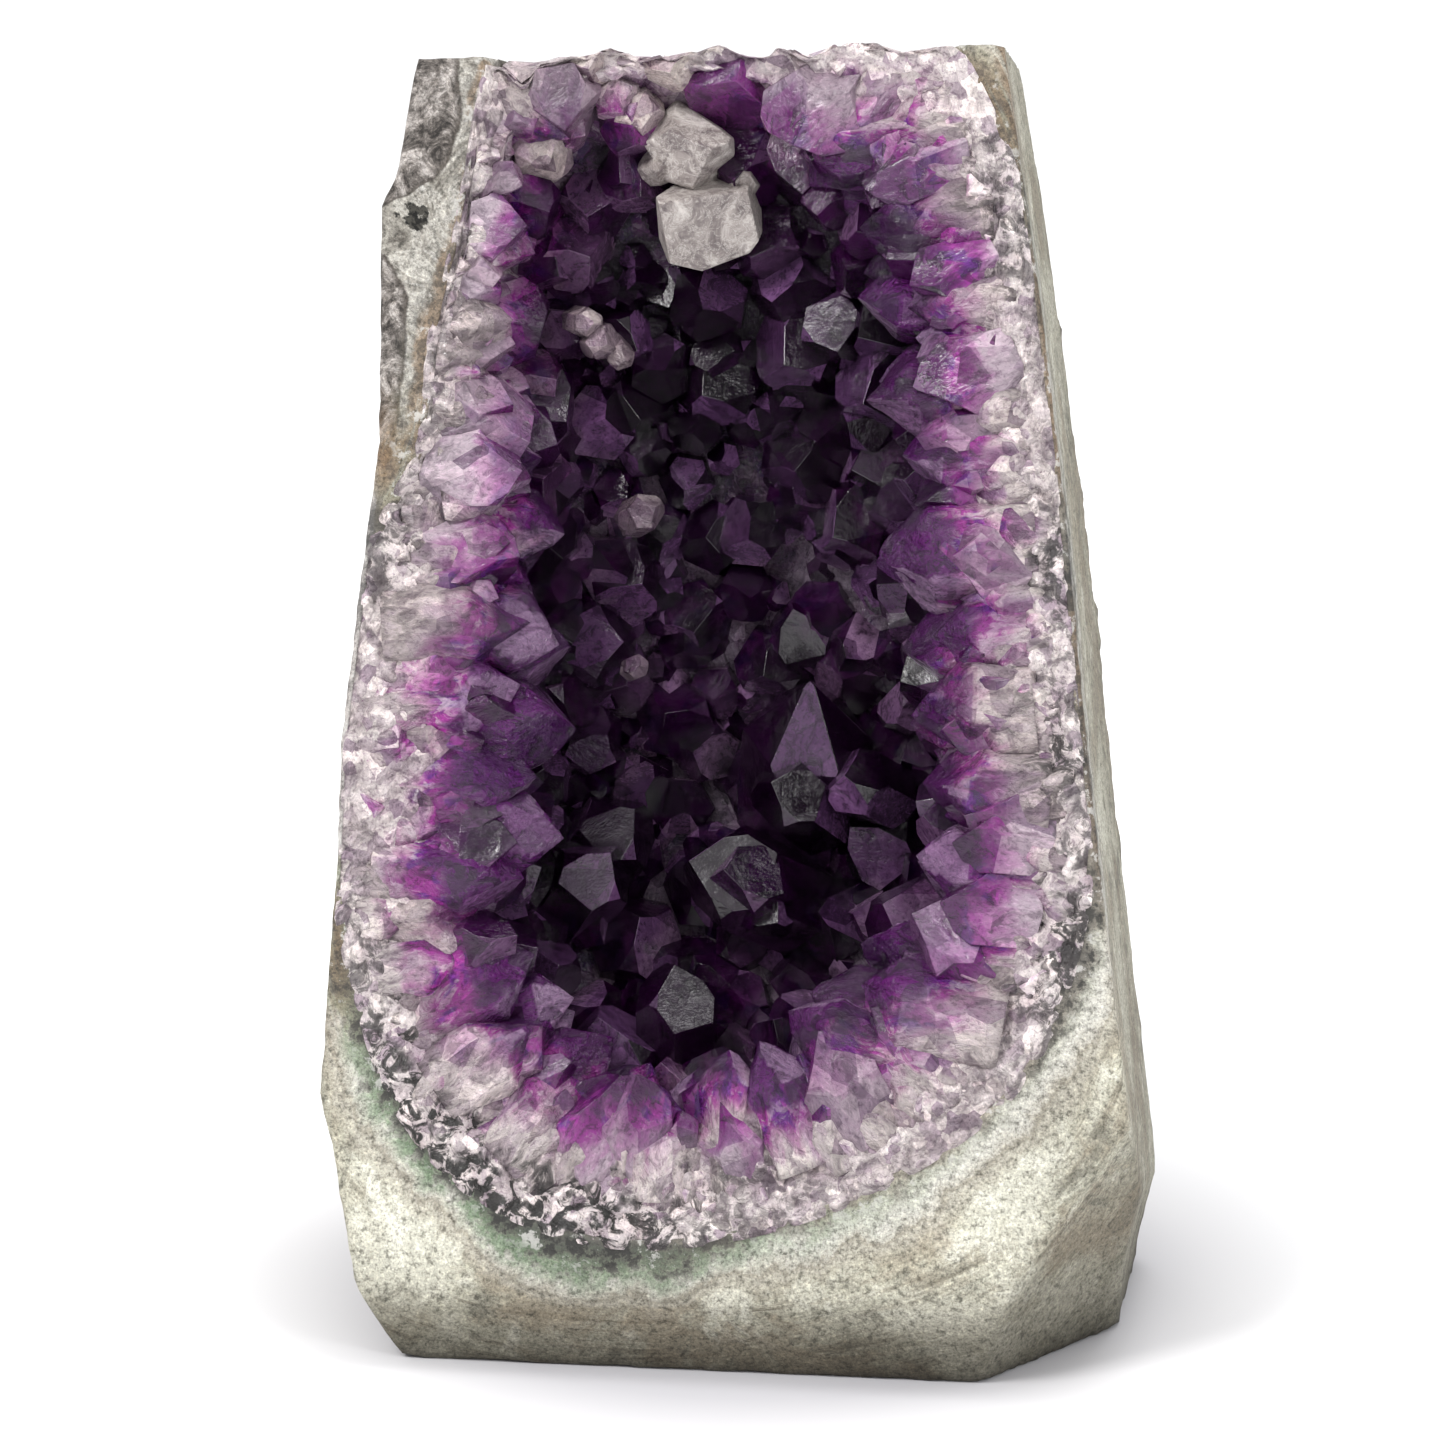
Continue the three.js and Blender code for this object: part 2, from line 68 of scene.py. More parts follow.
WALL_CURVE = (
    (-41, 102.9), (-42.4, 82.5), (-44.1, 74.6), (-46.8, 65.1), (-47.8, 41.4), (-54.9, 28.5),
    (-61.5, 12), (-63, -4), (-60.5, -24), (-55.7, -46), (-50.3, -61.7), (-37.8, -75.4),
    (-16.7, -82.3), (8.6, -78.7), (30.4, -69), (48.7, -54.1), (56.5, -30.3), (54.1, 5.5),
    (50, 44.2), (46.6, 72.1), (42.2, 87.6), (33.8, 104.5), (20, 122), (-5, 128), (-34, 121),
)
WALL_DEPTH = 56
DEPTH_TAPER = 0.17
BOWL_POWER = 2.4
FLOOR_POWER = 2.2
WALL_POWER = 2.3
ROCK_MIDDLE = np.array([*HOLLOW_CENTRE, 30])
ROCK_COLUMNS = 420
ROCK_OUTER_ROWS = 205
ROCK_INNER_ROWS = 14
EDGE_WEAR = 0.28
RIDGE_WIDTH = 1
LIT_ROCK = (1.32, 1.315, 1.275)
# The colour that the sides and back are multiplied by: painted shade.
SIDE_SHADE = (0.69, 0.685, 0.68)
VUGS = ((-52.4, 78.2, 4, 3.4), (-54.5, 60.5, 1.6, 1.2), (-30, -84.5, 1.6, 0.9))


def chance(place, draw):
    """A repeatable number between 0 and 1 for a place in a sequence: the broken part of a sine."""
    return broken_part(place * 12.9898 + draw * 78.233)


def broken_part(angle):
    """What is left of a sine, made very large, when whole numbers are taken away."""
    wave = np.sin(angle) * 43758.5453
    return wave - np.floor(wave)


def join(*parts):
    """Numbers put side by side, as the last axis of one array."""
    return np.stack(np.broadcast_arrays(*parts), axis=-1)


def split(places):
    """The numbers along the last axis of an array, apart."""
    return np.moveaxis(np.asarray(places, float), -1, 0)


def unit(way):
    """Directions brought to length one."""
    way = np.asarray(way, float)
    return way / np.linalg.norm(way, axis=-1, keepdims=True)


def soft_least(values, wear):
    """The smallest of the values along the last axis, blended where two are nearly the same."""
    near = np.nanmin(values, axis=-1, keepdims=True)
    return near[..., 0] - wear * np.log(np.nansum(np.exp((near - values) / wear), axis=-1))


def value_noise(points, cell, seed):
    """Random values at the corners of cubes of one size, blended smoothly between, from -1 to 1."""
    place = points / cell + seed * 17.31
    corner = np.floor(place)
    share = place - corner
    share = share * share * (3 - 2 * share)
    total = np.zeros(points.shape[:-1])
    for step in product((0, 1), repeat=3):
        weight = np.prod(np.where(step, share, 1 - share), axis=-1)
        total += weight * broken_part((corner + step) @ np.array([127.1, 311.7, 74.7]))
    return 2 * total - 1


def rough_noise(points, cell, seed, octaves):
    """Value noise summed over finer and finer cubes, each half as strong as the last."""
    return sum(value_noise(points, cell / 2**n, seed + n) / 2**n for n in range(octaves))


def face_direction(way):
    """A direction in u, v, w turned into x, y, z by the face's lean, or the other way round."""
    u, v, w = split(way)
    sine, cosine = math.sin(FACE_LEAN), math.cos(FACE_LEAN)
    return join(u, v * sine + w * cosine, v * cosine - w * sine)


def face_point(place):
    """A place in u, v, w in millimetres turned into x, y, z in metres."""
    return (face_direction(place) + FACE_ORIGIN) * MILLIMETRE


def face_place(spot):
    """A place in x, y, z in metres turned back into u, v, w in millimetres."""
    return face_direction(spot / MILLIMETRE - FACE_ORIGIN)


def whole_turn(count):
    """Angles in equal steps, once round."""
    return np.linspace(0, 2 * math.pi, count, endpoint=False)


def polar(places):
    """The angle and the distance from the hollow's centre, along the sawn face."""
    across, up = places[..., 0] - HOLLOW_CENTRE[0], places[..., 1] - HOLLOW_CENTRE[1]
    return np.arctan2(up, across), np.hypot(across, up)


def at_polar(angle, radius, w=0):
    """A place from its angle and distance from the hollow's centre, and its depth."""
    return join(radius * np.cos(angle), radius * np.sin(angle), w) + (*HOLLOW_CENTRE, 0)


def curve_radius(curve, angle):
    """Distance from the hollow's centre to a curve at an angle, evened out over 5 degrees."""
    at, far = polar(np.array(curve, float))
    turns = np.radians([-5, 0, 0, 5])
    return sum(np.interp(angle + turn, at, far, period=2 * math.pi) for turn in turns) / 4


def outline_radius(angle):
    """Distance from the hollow's centre to the straight-sided outline."""
    corners = np.array(FACE_OUTLINE) - HOLLOW_CENTRE
    edge = np.roll(corners, -1, axis=0) - corners
    across, up = np.cos(angle)[..., None], np.sin(angle)[..., None]
    cross = across * edge[:, 1] - up * edge[:, 0]
    along = (corners[:, 0] * edge[:, 1] - corners[:, 1] * edge[:, 0]) / cross
    share = (corners[:, 0] * up - corners[:, 1] * across) / cross
    hit = (along > 0) & (share >= -1e-6) & (share <= 1 + 1e-6)
    return np.where(hit, along, 1e3).min(axis=-1)


def bowl_place(curve, depth, angle, reach, ridge=0):
    """A place on a bowl under a curve: reach is 0 at the deepest place and 1 at the sawn face.
    Where the bowl would come out of the side, a ridge of so many millimetres is left standing."""
    radius = curve_radius(curve, angle) * reach
    if ridge:
        radius = np.minimum(radius, outline_radius(angle) - ridge)
    place = at_polar(angle, radius)
    deepest = depth - DEPTH_TAPER * np.maximum(0, place[..., 1])
    place[..., 2] = deepest * np.maximum(0, 1 - reach**BOWL_POWER) ** (1 / FLOOR_POWER)
    return place


def lump(u, v, w):
    """Lumps of the natural rind: products of sines, broad ones that bend each other and small."""
    broad = np.sin(u / 13 + 1.2 * np.sin(v / 21)) * np.cos(v / 17 + w / 23)
    small = np.sin(u / 6.1 + v / 7.7 + 1.7) * np.sin(v / 6.7 - w / 8.3)
    return BACK_LUMP * (broad + 0.55 * small)


def bell(*parts):
    """A bell curve, 1 in the middle: e to the minus sum of squared distances over widths."""
    return np.exp(-sum((distance / width) ** 2 for distance, width in parts))


def natural_distance(place):
    """How far a place is outside the unsawn stone: a rounded section whose size changes with v."""
    u, v, w = split(place)
    left = np.where(v > 40, 59.5, 64 - 0.06 * np.maximum(0, v) + 0.02 * np.minimum(0, v))
    side = np.where(u > 0, 67.4 - 0.151 * v, left)
    depth = BACK_DEPTH - BACK_TAPER * v - BACK_CURVE * v * v
    inside = np.maximum(w, 0)
    size = ((np.abs(u) / side) ** 3 + (inside / depth) ** 3) ** (1 / 3) + 1e-9
    return np.hypot(u, inside) * (1 - 1 / size) - lump(u, v, w) * np.minimum(1, inside / 25)


def top_height(places):
    """How far up the sloping sawn top is over a place, along v."""
    return FACE_TOP + TOP_SLOPE * places[..., 0] - places[..., 1]


def block_distance(place):
    """The largest of the distances outside the sawn planes and the rind, worn at its edges."""
    angle, far = polar(place)
    world = face_direction(place)
    parts = [-place[..., 2], far - outline_radius(angle), 0.02 * place[..., 2] - top_height(place),
             natural_distance(place), -world[..., 2] - FACE_ORIGIN[2]]
    parts += [(world - np.array(through)) @ unit(facing) for through, facing in FOOT_BEVELS]
    return -soft_least(-join(*parts), EDGE_WEAR)


def wall_size(place):
    """The size of the bowl through a place, as a share of the crust's own wall: 1 on the wall."""
    angle, far = polar(place)
    deep = np.maximum(place[..., 2], 0) / (WALL_DEPTH - DEPTH_TAPER * np.maximum(0, place[..., 1]))
    size = (far / curve_radius(WALL_CURVE, angle)) ** BOWL_POWER + deep**FLOOR_POWER
    return size ** (1 / WALL_POWER) + 1e-9


def wall_distance(place):
    """How far a place is outside the wall of the crust, in millimetres, and negative inside it."""
    return np.hypot(polar(place)[1], np.maximum(place[..., 2], 0)) * (1 - 1 / wall_size(place))


def new_object(name, points, faces, material, smooth=False):
    """A mesh from corners and faces, as an object in the scene."""
    mesh = bpy.data.meshes.new(name)
    mesh.from_pydata(points.reshape(-1, 3), [], [list(map(int, face)) for face in faces])
    mesh.polygons.foreach_set("use_smooth", [smooth] * len(mesh.polygons))
    mesh.materials.append(material)
    made = bpy.data.objects.new(name, mesh)
    bpy.context.scene.collection.objects.link(made)
    return made


def make_piece(name, points, faces, material, corners=None, sides=None, smooth=False,
               part="crystal_crust"):
    """A piece of the stone, with named numbers for each corner and for each face, that stands in
    for a part. The number named grown is a place: where a corner sits in its own crystal."""
    piece = new_object(name, points, faces, material, smooth)
    for domain, named in (("POINT", corners), ("FACE", sides)):
        for key, values in (named or {}).items():
            kind, field = ("FLOAT_VECTOR", "vector") if key == "grown" else ("FLOAT", "value")
            numbers = piece.data.attributes.new(key, kind, domain).data
            numbers.foreach_set(field, np.ravel(values))
    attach(piece, "root")
    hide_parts(part)
    return piece


def closed_rings(rings, start, end, turned=-1):
    """The corners and faces of rings in a row, closed by a fan to a point at each end, with the
    corners of each face in turn or, with -1, the other way round."""
    rows, columns = rings.shape[:2]
    here = np.arange(columns)
    low = np.arange(rows - 1)[:, None] * columns
    after = (here + 1) % columns
    faces = list(np.stack([low + here, low + columns + here, low + columns + after, low + after],
                          axis=-1).reshape(-1, 4))
    base = (rows - 1) * columns
    faces += list(join(rows * columns, here, after))
    faces += list(join(rows * columns + 1, base + after, base + here))
    return np.concatenate([rings.reshape(-1, 3), [start, end]]), [face[::turned] for face in faces]


def farthest(low, high, rounds, is_inside):
    """The largest value between two that is still inside, found by halving what is left."""
    for _ in range(rounds):
        middle = (low + high) / 2
        inside = is_inside(middle)
        low, high = np.where(inside, middle, low), np.where(inside, high, middle)
    return low


def rock_rings():
    """Rows along the bowl wall to its lip, then rays from inside the stone out to its skin."""
    angle = whole_turn(ROCK_COLUMNS)

    def on_wall(reach):
        """A place on the wall: reach is its share of the way from the deepest place to the face."""
        return bowl_place(WALL_CURVE, WALL_DEPTH, angle, reach, RIDGE_WIDTH)

    lip = farthest(np.full(ROCK_COLUMNS, 0.5), np.ones(ROCK_COLUMNS), 24,
                   lambda reach: block_distance(on_wall(reach)) < -1e-3)
    inner = on_wall(lip * np.sin(np.linspace(0.1, 1, ROCK_INNER_ROWS) * math.pi / 2)[:, None])
    edge = inner[-1] - ROCK_MIDDLE
    start = np.arctan2(np.hypot(edge[:, 0], edge[:, 1]), -edge[:, 2])
    turn = start + (math.pi - start) * np.linspace(0.002, 0.985, ROCK_OUTER_ROWS)[:, None]
    way = join(np.sin(turn) * np.cos(angle), np.sin(turn) * np.sin(angle), -np.cos(turn))
    reach = farthest(np.zeros(turn.shape), np.full(turn.shape, 200.0), 22,
                     lambda reach: block_distance(ROCK_MIDDLE + way * reach[..., None]) < 0)
    return inner, ROCK_MIDDLE + way * reach[..., None], way


def weather(place, way):
    """Fine relief: rough on the natural rind, faint on the sawn faces, with a few small vugs."""
    natural = np.clip(1 + natural_distance(place) / 1.5, 0, 1)
    face = np.clip(1 + place[..., 2] * -0.8, 0, 1)
    rough = 0.9 * rough_noise(place, 6, 3, 5) - 0.5
    sawn = 0.16 * rough_noise(place, 2.2, 9, 3) - 0.1
    relief = natural * rough + (1 - natural) * sawn
    for u, v, size, deep in VUGS:
        reach = np.hypot(place[..., 0] - u, (place[..., 1] - v) * 0.7) / size
        relief -= face * deep * np.exp(-reach**2 * 1.4)
    return place + way * relief[..., None]


def feed(made, inputs):
    """Fills the inputs of a node by name: sockets are linked, and plain values are set."""
    for key, value in inputs.items():
        socket = made.inputs[key]
        if isinstance(value, bpy.types.NodeSocket):
            made.id_data.links.new(value, socket)
        else:
            socket.default_value = (*value, 1) if socket.type == "RGBA" else value


def node(tree, kind, inputs=None, **settings):
    """A shader node with its settings and its inputs."""
    made = tree.nodes.new("ShaderNode" + kind)
    for key, value in settings.items():
        setattr(made, key, value)
    feed(made, inputs or {})
    return made


def tree_of(*values):
    """The node tree of the first socket among some values."""
    return next(value.id_data for value in values if isinstance(value, bpy.types.NodeSocket))


def ramp(factor, *stops):
    """A colour ramp from positions and colours."""
    made = node(factor.id_data, "ValToRGB", {"Fac": factor})
    elements = made.color_ramp.elements
    while len(elements) < len(stops):
        elements.new(0.5)
    for element, (position, *colour) in zip(elements, stops):
        element.position = position
        element.color = (*colour, 1)
    return made.outputs["Color"]


def mix(factor, first, second, blend="MIX"):
    """Two colours mixed, each given as a socket or as red, green and blue."""
    inputs = {0: factor, 6: first, 7: second}
    return node(tree_of(factor, first, second), "Mix", inputs,
                data_type="RGBA", blend_type=blend).outputs[2]


def tint(colour, stain, factor=None):
    """A colour multiplied by another, all over or as far as a factor says."""
    stained = mix(1, colour, stain, "MULTIPLY")
    return stained if factor is None else mix(factor, colour, stained)


def calculate(operation, *values):
    """One sum on numbers or sockets."""
    inputs = dict(enumerate(values))
    return node(tree_of(*values), "Math", inputs, operation=operation).outputs[0]


def scaled(value, factor, more):
    """A value times a factor, plus more."""
    return calculate("MULTIPLY_ADD", value, factor, more)


def sway(height, amount, base):
    """A base value moved up and down by a noise, which is 0.5 on average."""
    return scaled(calculate("SUBTRACT", height, 0.5), amount, base)


def times(first, *factors):
    """The product of several numbers or sockets."""
    for factor in factors:
        first = calculate("MULTIPLY", first, factor)
    return first


def noise(place, scale, detail, roughness, distortion=0):
    """A noise value at a place on the object, at so many cells to the metre."""
    inputs = {"Vector": place, "Scale": scale, "Detail": detail, "Roughness": roughness,
              "Distortion": distortion}
    return node(place.id_data, "TexNoise", inputs).outputs["Fac"]


def remap(value, low, high, start=0, end=1, kind="LINEAR"):
    """A value moved from the range low to high into the range start to end."""
    inputs = {"Value": value, "From Min": low, "From Max": high, "To Min": start, "To Max": end}
    made = node(value.id_data, "MapRange", inputs, interpolation_type=kind)
    return made.outputs["Result"]


def mask(value, low, high):
    """0 below one value, 1 above another, a smooth rise between; falls where low is the larger."""
    return remap(value, low, high, kind="SMOOTHSTEP")


def attribute(tree, name, output="Fac"):
    """What the mesh carries for each corner or face under a name."""
    return node(tree, "Attribute", attribute_name=name).outputs[output]


def arrow(operation, first, second=(0, 0, 0)):
    """The results of one sum on two directions or places."""
    inputs = {0: first, 1: second}
    return node(first.id_data, "VectorMath", inputs, operation=operation).outputs


def new_material(name):
    """An empty material with its shader and the object's own coordinates."""
    material = bpy.data.materials.new(name)
    material.use_nodes = True
    tree = material.node_tree
    tree.nodes.clear()
    shader = node(tree, "BsdfPrincipled")
    node(tree, "OutputMaterial", {"Surface": shader.outputs["BSDF"]})
    return material, shader, node(tree, "TexCoord").outputs["Object"]


def bump(height, strength, distance):
    """A surface direction tilted by fine relief from a height, in metres."""
    inputs = {"Height": height, "Strength": strength, "Distance": distance}
    return node(height.id_data, "Bump", inputs).outputs["Normal"]


# Where the pale band beside the crust ends on the upper left, as v and u, and where stains lie.
RIND_EDGE = (
    (0, -90), (30, -68), (36.4, -55.2), (46, -53.4), (57.8, -52.7), (64.9, -52.4),
    (70.9, -55.2), (76, -63), (80.5, -55.5), (83.5, -48.9), (86.4, -47), (91.1, -45.2),
    (95.1, -44.7), (102.9, -45.6),
)
BROWN_STAINS = (
    (-55.2, 39, 3.5, 8), (-60, -38, 3.5, 13), (38, 98, 6, 9), (42, 84, 3, 8),
    (24.4, 105.3, 7, 3),
)
# A spot of painted shade on the right bevel: u, v and its widths.
SHADED_SPOT = (57, -64, 10, 14)
WHITE_ARCS = ((-86, 36, 1), (52, 24, 0.9), (0, 22, 0.35), (186, 24, 1), (108, 18, 0.3))
GREEN_ARCS = ((-118, 24, 1), (-86, 20, 0.55), (-148, 12, 0.4), (150, 10, 0.4), (64, 8, 0.5))
SOOT_ARCS = (
    (-122, 26, 1), (-95, 16, 0.6), (-33, 14, 0.9), (-8, 7, 0.6), (22, 8, 0.7), (58, 9, 0.7),
    (160, 10, 0.6), (128, 20, 0.35), (6, 24, 0.35),
)


def around_hollow(places, arcs):
    """How strongly something shows round the hollow: bell curves over the angle, added up."""
    angle = np.degrees(polar(places)[0])
    return np.minimum(sum(strength * bell(((angle - middle + 180) % 360 - 180, width))
                          for middle, width, strength in arcs), 1)


def rock_numbers(places):
    """What the rock's corners carry: how far the crust is, the rind, the stains, the painted shade
    on the sides and back and on one spot of the right bevel, the green band, the soot and where the
    vugs get painted shade."""
    u, v, w = split(places)
    angle, far = polar(places)
    inside = np.maximum(w, 0)
    edge = outline_radius(angle) - far
    stain = sum(bell((u - a, wide), (v - b, tall)) for a, b, wide, tall in BROWN_STAINS)
    line = bell((edge, 1.1)) * (u > 20) * (w < 1.5) * np.clip((v + 40) / 30, 0, 1)
    patchy = np.clip(1.2 - inside / 9 + 0.5 * value_noise(places, 7, 61), 0, 1)
    near_edge = np.exp(-((edge / 1.6) ** 2) - inside / 2.5)
    spot = bell((u - SHADED_SPOT[0], SHADED_SPOT[2]), (v - SHADED_SPOT[1], SHADED_SPOT[3]))
    return {
        "from_wall": np.clip((wall_distance(places) + 0.9 * inside) / 20, 0, 2),
        "natural": np.clip(1.2 + natural_distance(places) / 1.5, 0, 1),
        "rind": np.where(u < 0, np.clip((np.interp(v, *zip(*RIND_EDGE)) - u) / 8, -1, 1), -1),
        "upper_left": np.clip((v - 30) / 14, 0, 1) * np.clip((-28 - u) / 14, 0, 1) * patchy,
        "brown": np.minimum(stain * np.exp(-inside / 8) + line, 1),
        # Painted shade on the sides and back, stronger on the right, and on the shaded spot.
        "side_shade": np.maximum(np.clip(w / 4, 0, 1) * np.where(u > 20, 1, 0.55), 0.8 * spot),
        "crusted": near_edge * (u < -30) * np.clip((34 - np.abs(v - 6)) / 8, 0, 1),
        "green": around_hollow(places, GREEN_ARCS),
        "soot": around_hollow(places, SOOT_ARCS),
        # Where the vugs get painted shade.
        "hole": sum(np.exp(-((u - a) / size) ** 2 * 0.9 - ((v - b) / size) ** 2 * 2.2
                           - np.maximum(w - 3, 0)) for a, b, size, _ in VUGS),
    }


def rock_material():
    """Speckled, green, pale and brown bands beside the crust, then mottled and streaked rock,
    with painted shade on the sides and back, towards the foot and in the vugs.
    """
    material, shader, place = new_material("banded_host_rock")
    tree = material.node_tree
    carried = ("from_wall", "natural", "soot", "brown", "rind")
    from_wall, natural, soot, brown, rind = (attribute(tree, key) for key in carried)
    x, y, z = node(tree, "SeparateXYZ", {"Vector": place}).outputs
    layers = {"X": times(x, 26), "Y": scaled(y, 26, times(from_wall, 5)), "Z": times(z, 26)}
    layered = node(tree, "CombineXYZ", layers).outputs["Vector"]
    streak = noise(layered, 1.6, 7, 0.64, 0.5)
    cloud = noise(place, 34, 6, 0.64, 0.7)
    patch = noise(place, 85, 7, 0.68, 1.2)
    grain = noise(place, 900, 3, 0.7)
    clot = noise(place, 260, 6, 0.72)
    mottled = ramp(
        streak, (0.32, 0.15, 0.14, 0.112), (0.42, 0.27, 0.255, 0.21), (0.5, 0.4, 0.39, 0.33),
        (0.57, 0.29, 0.285, 0.235), (0.66, 0.48, 0.475, 0.41))
    clouded = mix(mask(cloud, 0.49, 0.6), mottled, (0.46, 0.455, 0.4))
    creamy = mix(times(mask(patch, 0.54, 0.64), 0.8), clouded, (0.54, 0.535, 0.48))
    browned = mix(times(mask(cloud, 0.5, 0.4), 0.7), creamy, (0.235, 0.2, 0.15))
    shaded = mix(times(mask(patch, 0.45, 0.34), 0.75), browned, (0.15, 0.145, 0.12))
    wavy = sway(clot, 0.16, sway(patch, 0.35, sway(cloud, 0.8, from_wall)))
    bands = ramp(
        wavy, (0, 0.3, 0.27, 0.225), (0.1, 0.33, 0.3, 0.25), (0.2, 0.42, 0.42, 0.36),
        (0.3, 0.56, 0.55, 0.5), (0.4, 0.46, 0.44, 0.385), (0.44, 0.29, 0.27, 0.22),
        (0.48, 0.42, 0.4, 0.34), (0.58, 0.3, 0.27, 0.21), (0.72, 0.38, 0.365, 0.31))
    banded = mix(mask(wavy, 0.66, 0.44), tint(shaded, LIT_ROCK), bands)
    agate = ramp(
        noise(place, 105, 6, 0.66, 1.2), (0.34, 0.1, 0.09, 0.078), (0.43, 0.27, 0.255, 0.225),
        (0.5, 0.42, 0.405, 0.37), (0.56, 0.23, 0.215, 0.19), (0.66, 0.56, 0.55, 0.52))
    left_rind = ramp(
        noise(place, 210, 6, 0.8, 1), (0.38, 0.025, 0.021, 0.019), (0.45, 0.1, 0.088, 0.08),
        (0.52, 0.2, 0.18, 0.167), (0.6, 0.42, 0.39, 0.37))
    upper_left = mix(mask(sway(clot, 0.5, rind), 0.04, -0.04), left_rind, agate)
    inner_edge = times(mask(wavy, 0.2, 0.08), mask(streak, 0.36, 0.52), 0.8)
    edged = mix(inner_edge, upper_left, (0.27, 0.185, 0.115))
    corner = mask(sway(patch, 1.6, attribute(tree, "upper_left")), 0.3, 0.46)
    line_at = scaled(rind, 0.5, sway(clot, 0.12, 0.5))
    drawn = ramp(line_at, (0.48, 0, 0, 0), (0.51, 1, 1, 1), (0.58, 0, 0, 0))
    lined = mix(times(drawn, corner, 0.9), mix(corner, banded, edged), (0.06, 0.05, 0.042))
    green_band = times(mask(wavy, 0.46, 0.24), mask(wavy, -0.05, 0.06))
    green_at = times(green_band, attribute(tree, "green"), mask(clot, 0.36, 0.56), 0.9)
    greened = mix(green_at, lined, (0.105, 0.175, 0.09))
    rusty = mix(times(brown, mask(streak, 0.3, 0.5), 0.9), greened, (0.19, 0.125, 0.075))
    weathered = mix(times(natural, 0.5), rusty, (0.17, 0.15, 0.12))
    crust_at = mask(sway(clot, 1.2, attribute(tree, "crusted")), 0.3, 0.54)
    crusted = mix(crust_at, weathered, (0.4, 0.375, 0.36))
    speck = ramp(grain, (0.34, 0.42, 0.42, 0.41), (0.45, 0.9, 0.9, 0.9),
                 (0.58, 1, 1, 1), (0.68, 1.3, 1.3, 1.28))
    grit = ramp(noise(place, 2300, 2, 0.8), (0.35, 0.6, 0.59, 0.58), (0.48, 1, 1, 1),
                (0.56, 1.04, 1.04, 1.04), (0.66, 1.38, 1.37, 1.35))
    near = times(mask(wavy, 0.3, 0.04), soot, 0.8)
    sooty = mix(near, tint(tint(crusted, speck), grit), (0.05, 0.05, 0.048))
    pepper = times(mask(clot, 0.49, 0.42), mask(wavy, 0.36, 0.1), scaled(soot, 0.6, 0.4), 0.9)
    peppered = mix(pepper, sooty, (0.025, 0.025, 0.024))
    salt = times(mask(clot, 0.54, 0.6), mask(wavy, 0.32, 0.1), 0.7)
    salted = mix(salt, peppered, (0.52, 0.51, 0.49))
    # Painted shade: the rock darkens towards the foot, most in the last 8 millimetres.
    foot = ramp(z, (0, 0.3, 0.29, 0.27), (0.008, 0.62, 0.61, 0.59), (0.022, 1, 1, 1))
    # Painted shade in the vugs: nearly black, speckled.
    hole_shade_colour = mix(mask(grain, 0.46, 0.6), (0.006, 0.0056, 0.005), (0.05, 0.047, 0.04))
    hole_shade_at = mask(sway(clot, 1.5, attribute(tree, "hole")), 0.54, 0.66)
    hole_and_foot_shaded = mix(hole_shade_at, tint(salted, foot), hole_shade_colour)
    # Painted shade on the sides and back.
    inner = tint(hole_and_foot_shaded, SIDE_SHADE, attribute(tree, "side_shade"))
    # Painted shade: darker further from the crust and into the sides and back.
    far_shaded = tint(inner, (0.8, 0.79, 0.77), mask(from_wall, 0.9, 1.8))
    relief = scaled(clot, scaled(natural, 0.9, 0.5), times(grain, 0.25))
    feed(shader, {
        "Base Color": far_shaded, "Roughness": remap(cloud, 0.35, 0.65, 0.62, 0.85),
        "Specular IOR Level": 0.35, "Normal": bump(scaled(patch, 0.8, relief), 0.85, 0.0014),
    })
    return material


inner_rows, outer_rows, ray = rock_rings()
outer_rows = weather(outer_rows, ray)
rock_places = np.concatenate([inner_rows, outer_rows])
deepest = bowl_place(WALL_CURVE, WALL_DEPTH, np.array(0), np.array(0))
rearmost = outer_rows[-1].mean(axis=0)
rock_points, rock_faces = closed_rings(rock_places, deepest, rearmost, 1)
make_piece("host_rock_skin", face_point(rock_points), rock_faces, rock_material(),
           rock_numbers(rock_points), smooth=True, part="host_rock")


# The quartz lining
# The first growth on the wall of the hole: a crust of small milky quartz grains, fused together,
# from which the long crystals grow. It fills the band between the rock and the crystals' roots.

ROOT_CURVE = (
    (-36, 99), (-42, 66), (-42, 46.5), (-41, 25), (-42, 3), (-43, -21), (-42, -42), (-29, -63),
    (1.5, -65.5), (26, -56), (42, -32), (44, -3), (39, 20), (38, 43.5), (34, 67), (28, 91),
    (-6.9, 104),
)
ROOT_DEPTH = 43
LINING_COLUMNS = 560
LINING_WALL_ROWS = 10
LINING_BAND_ROWS = 44
LINING_FLOOR_ROWS = 46
LINING_SPILL = 1.6
LINING_CLEAR = 0.65
GRAIN_SIZE = 3.4
QUARTZ_IOR = 1.545
CRYSTAL_ZONES = ("Root", "Waist", "Glow", "Core", "Tip", "Frost_and_sheen")
CARRIED = ("Growth", "Tone", "Lustre", "Deep", "Soot")


def cell_relief(points, cell, seed):
    """Rounded grains, one at each randomly moved corner of a grid: high where one is near."""
    place = points / cell + seed * 5.7
    corner = np.floor(place)
    ways = np.array([(127.1, 311.7, 74.7), (269.5, 183.3, 246.1), (113.5, 271.9, 124.6)]).T
    nearest = np.full(points.shape[:-1], 9.0)
    for step in product((-1, 0, 1), repeat=3):
        at = corner + step
        nearest = np.minimum(nearest, np.linalg.norm(place - at - broken_part(at @ ways), axis=-1))
    return 1 - np.minimum(nearest, 1)


def top_limit(places):
    """How far up the crust reaches at the sawn top: a broken edge with one notch on the left."""
    flat = places * (1, 0, 0.6)
    broken = 1.3 * value_noise(flat, 4.6, 51) + 0.7 * value_noise(flat, 1.9, 52) - 0.5
    notch = np.exp(-(((places[..., 0] + 35.2) / 2.3) ** 2) - np.maximum(places[..., 2], 0) / 6)
    return top_height(places * (1, 0, 1)) - 0.02 * places[..., 2] + broken - 3.6 * notch


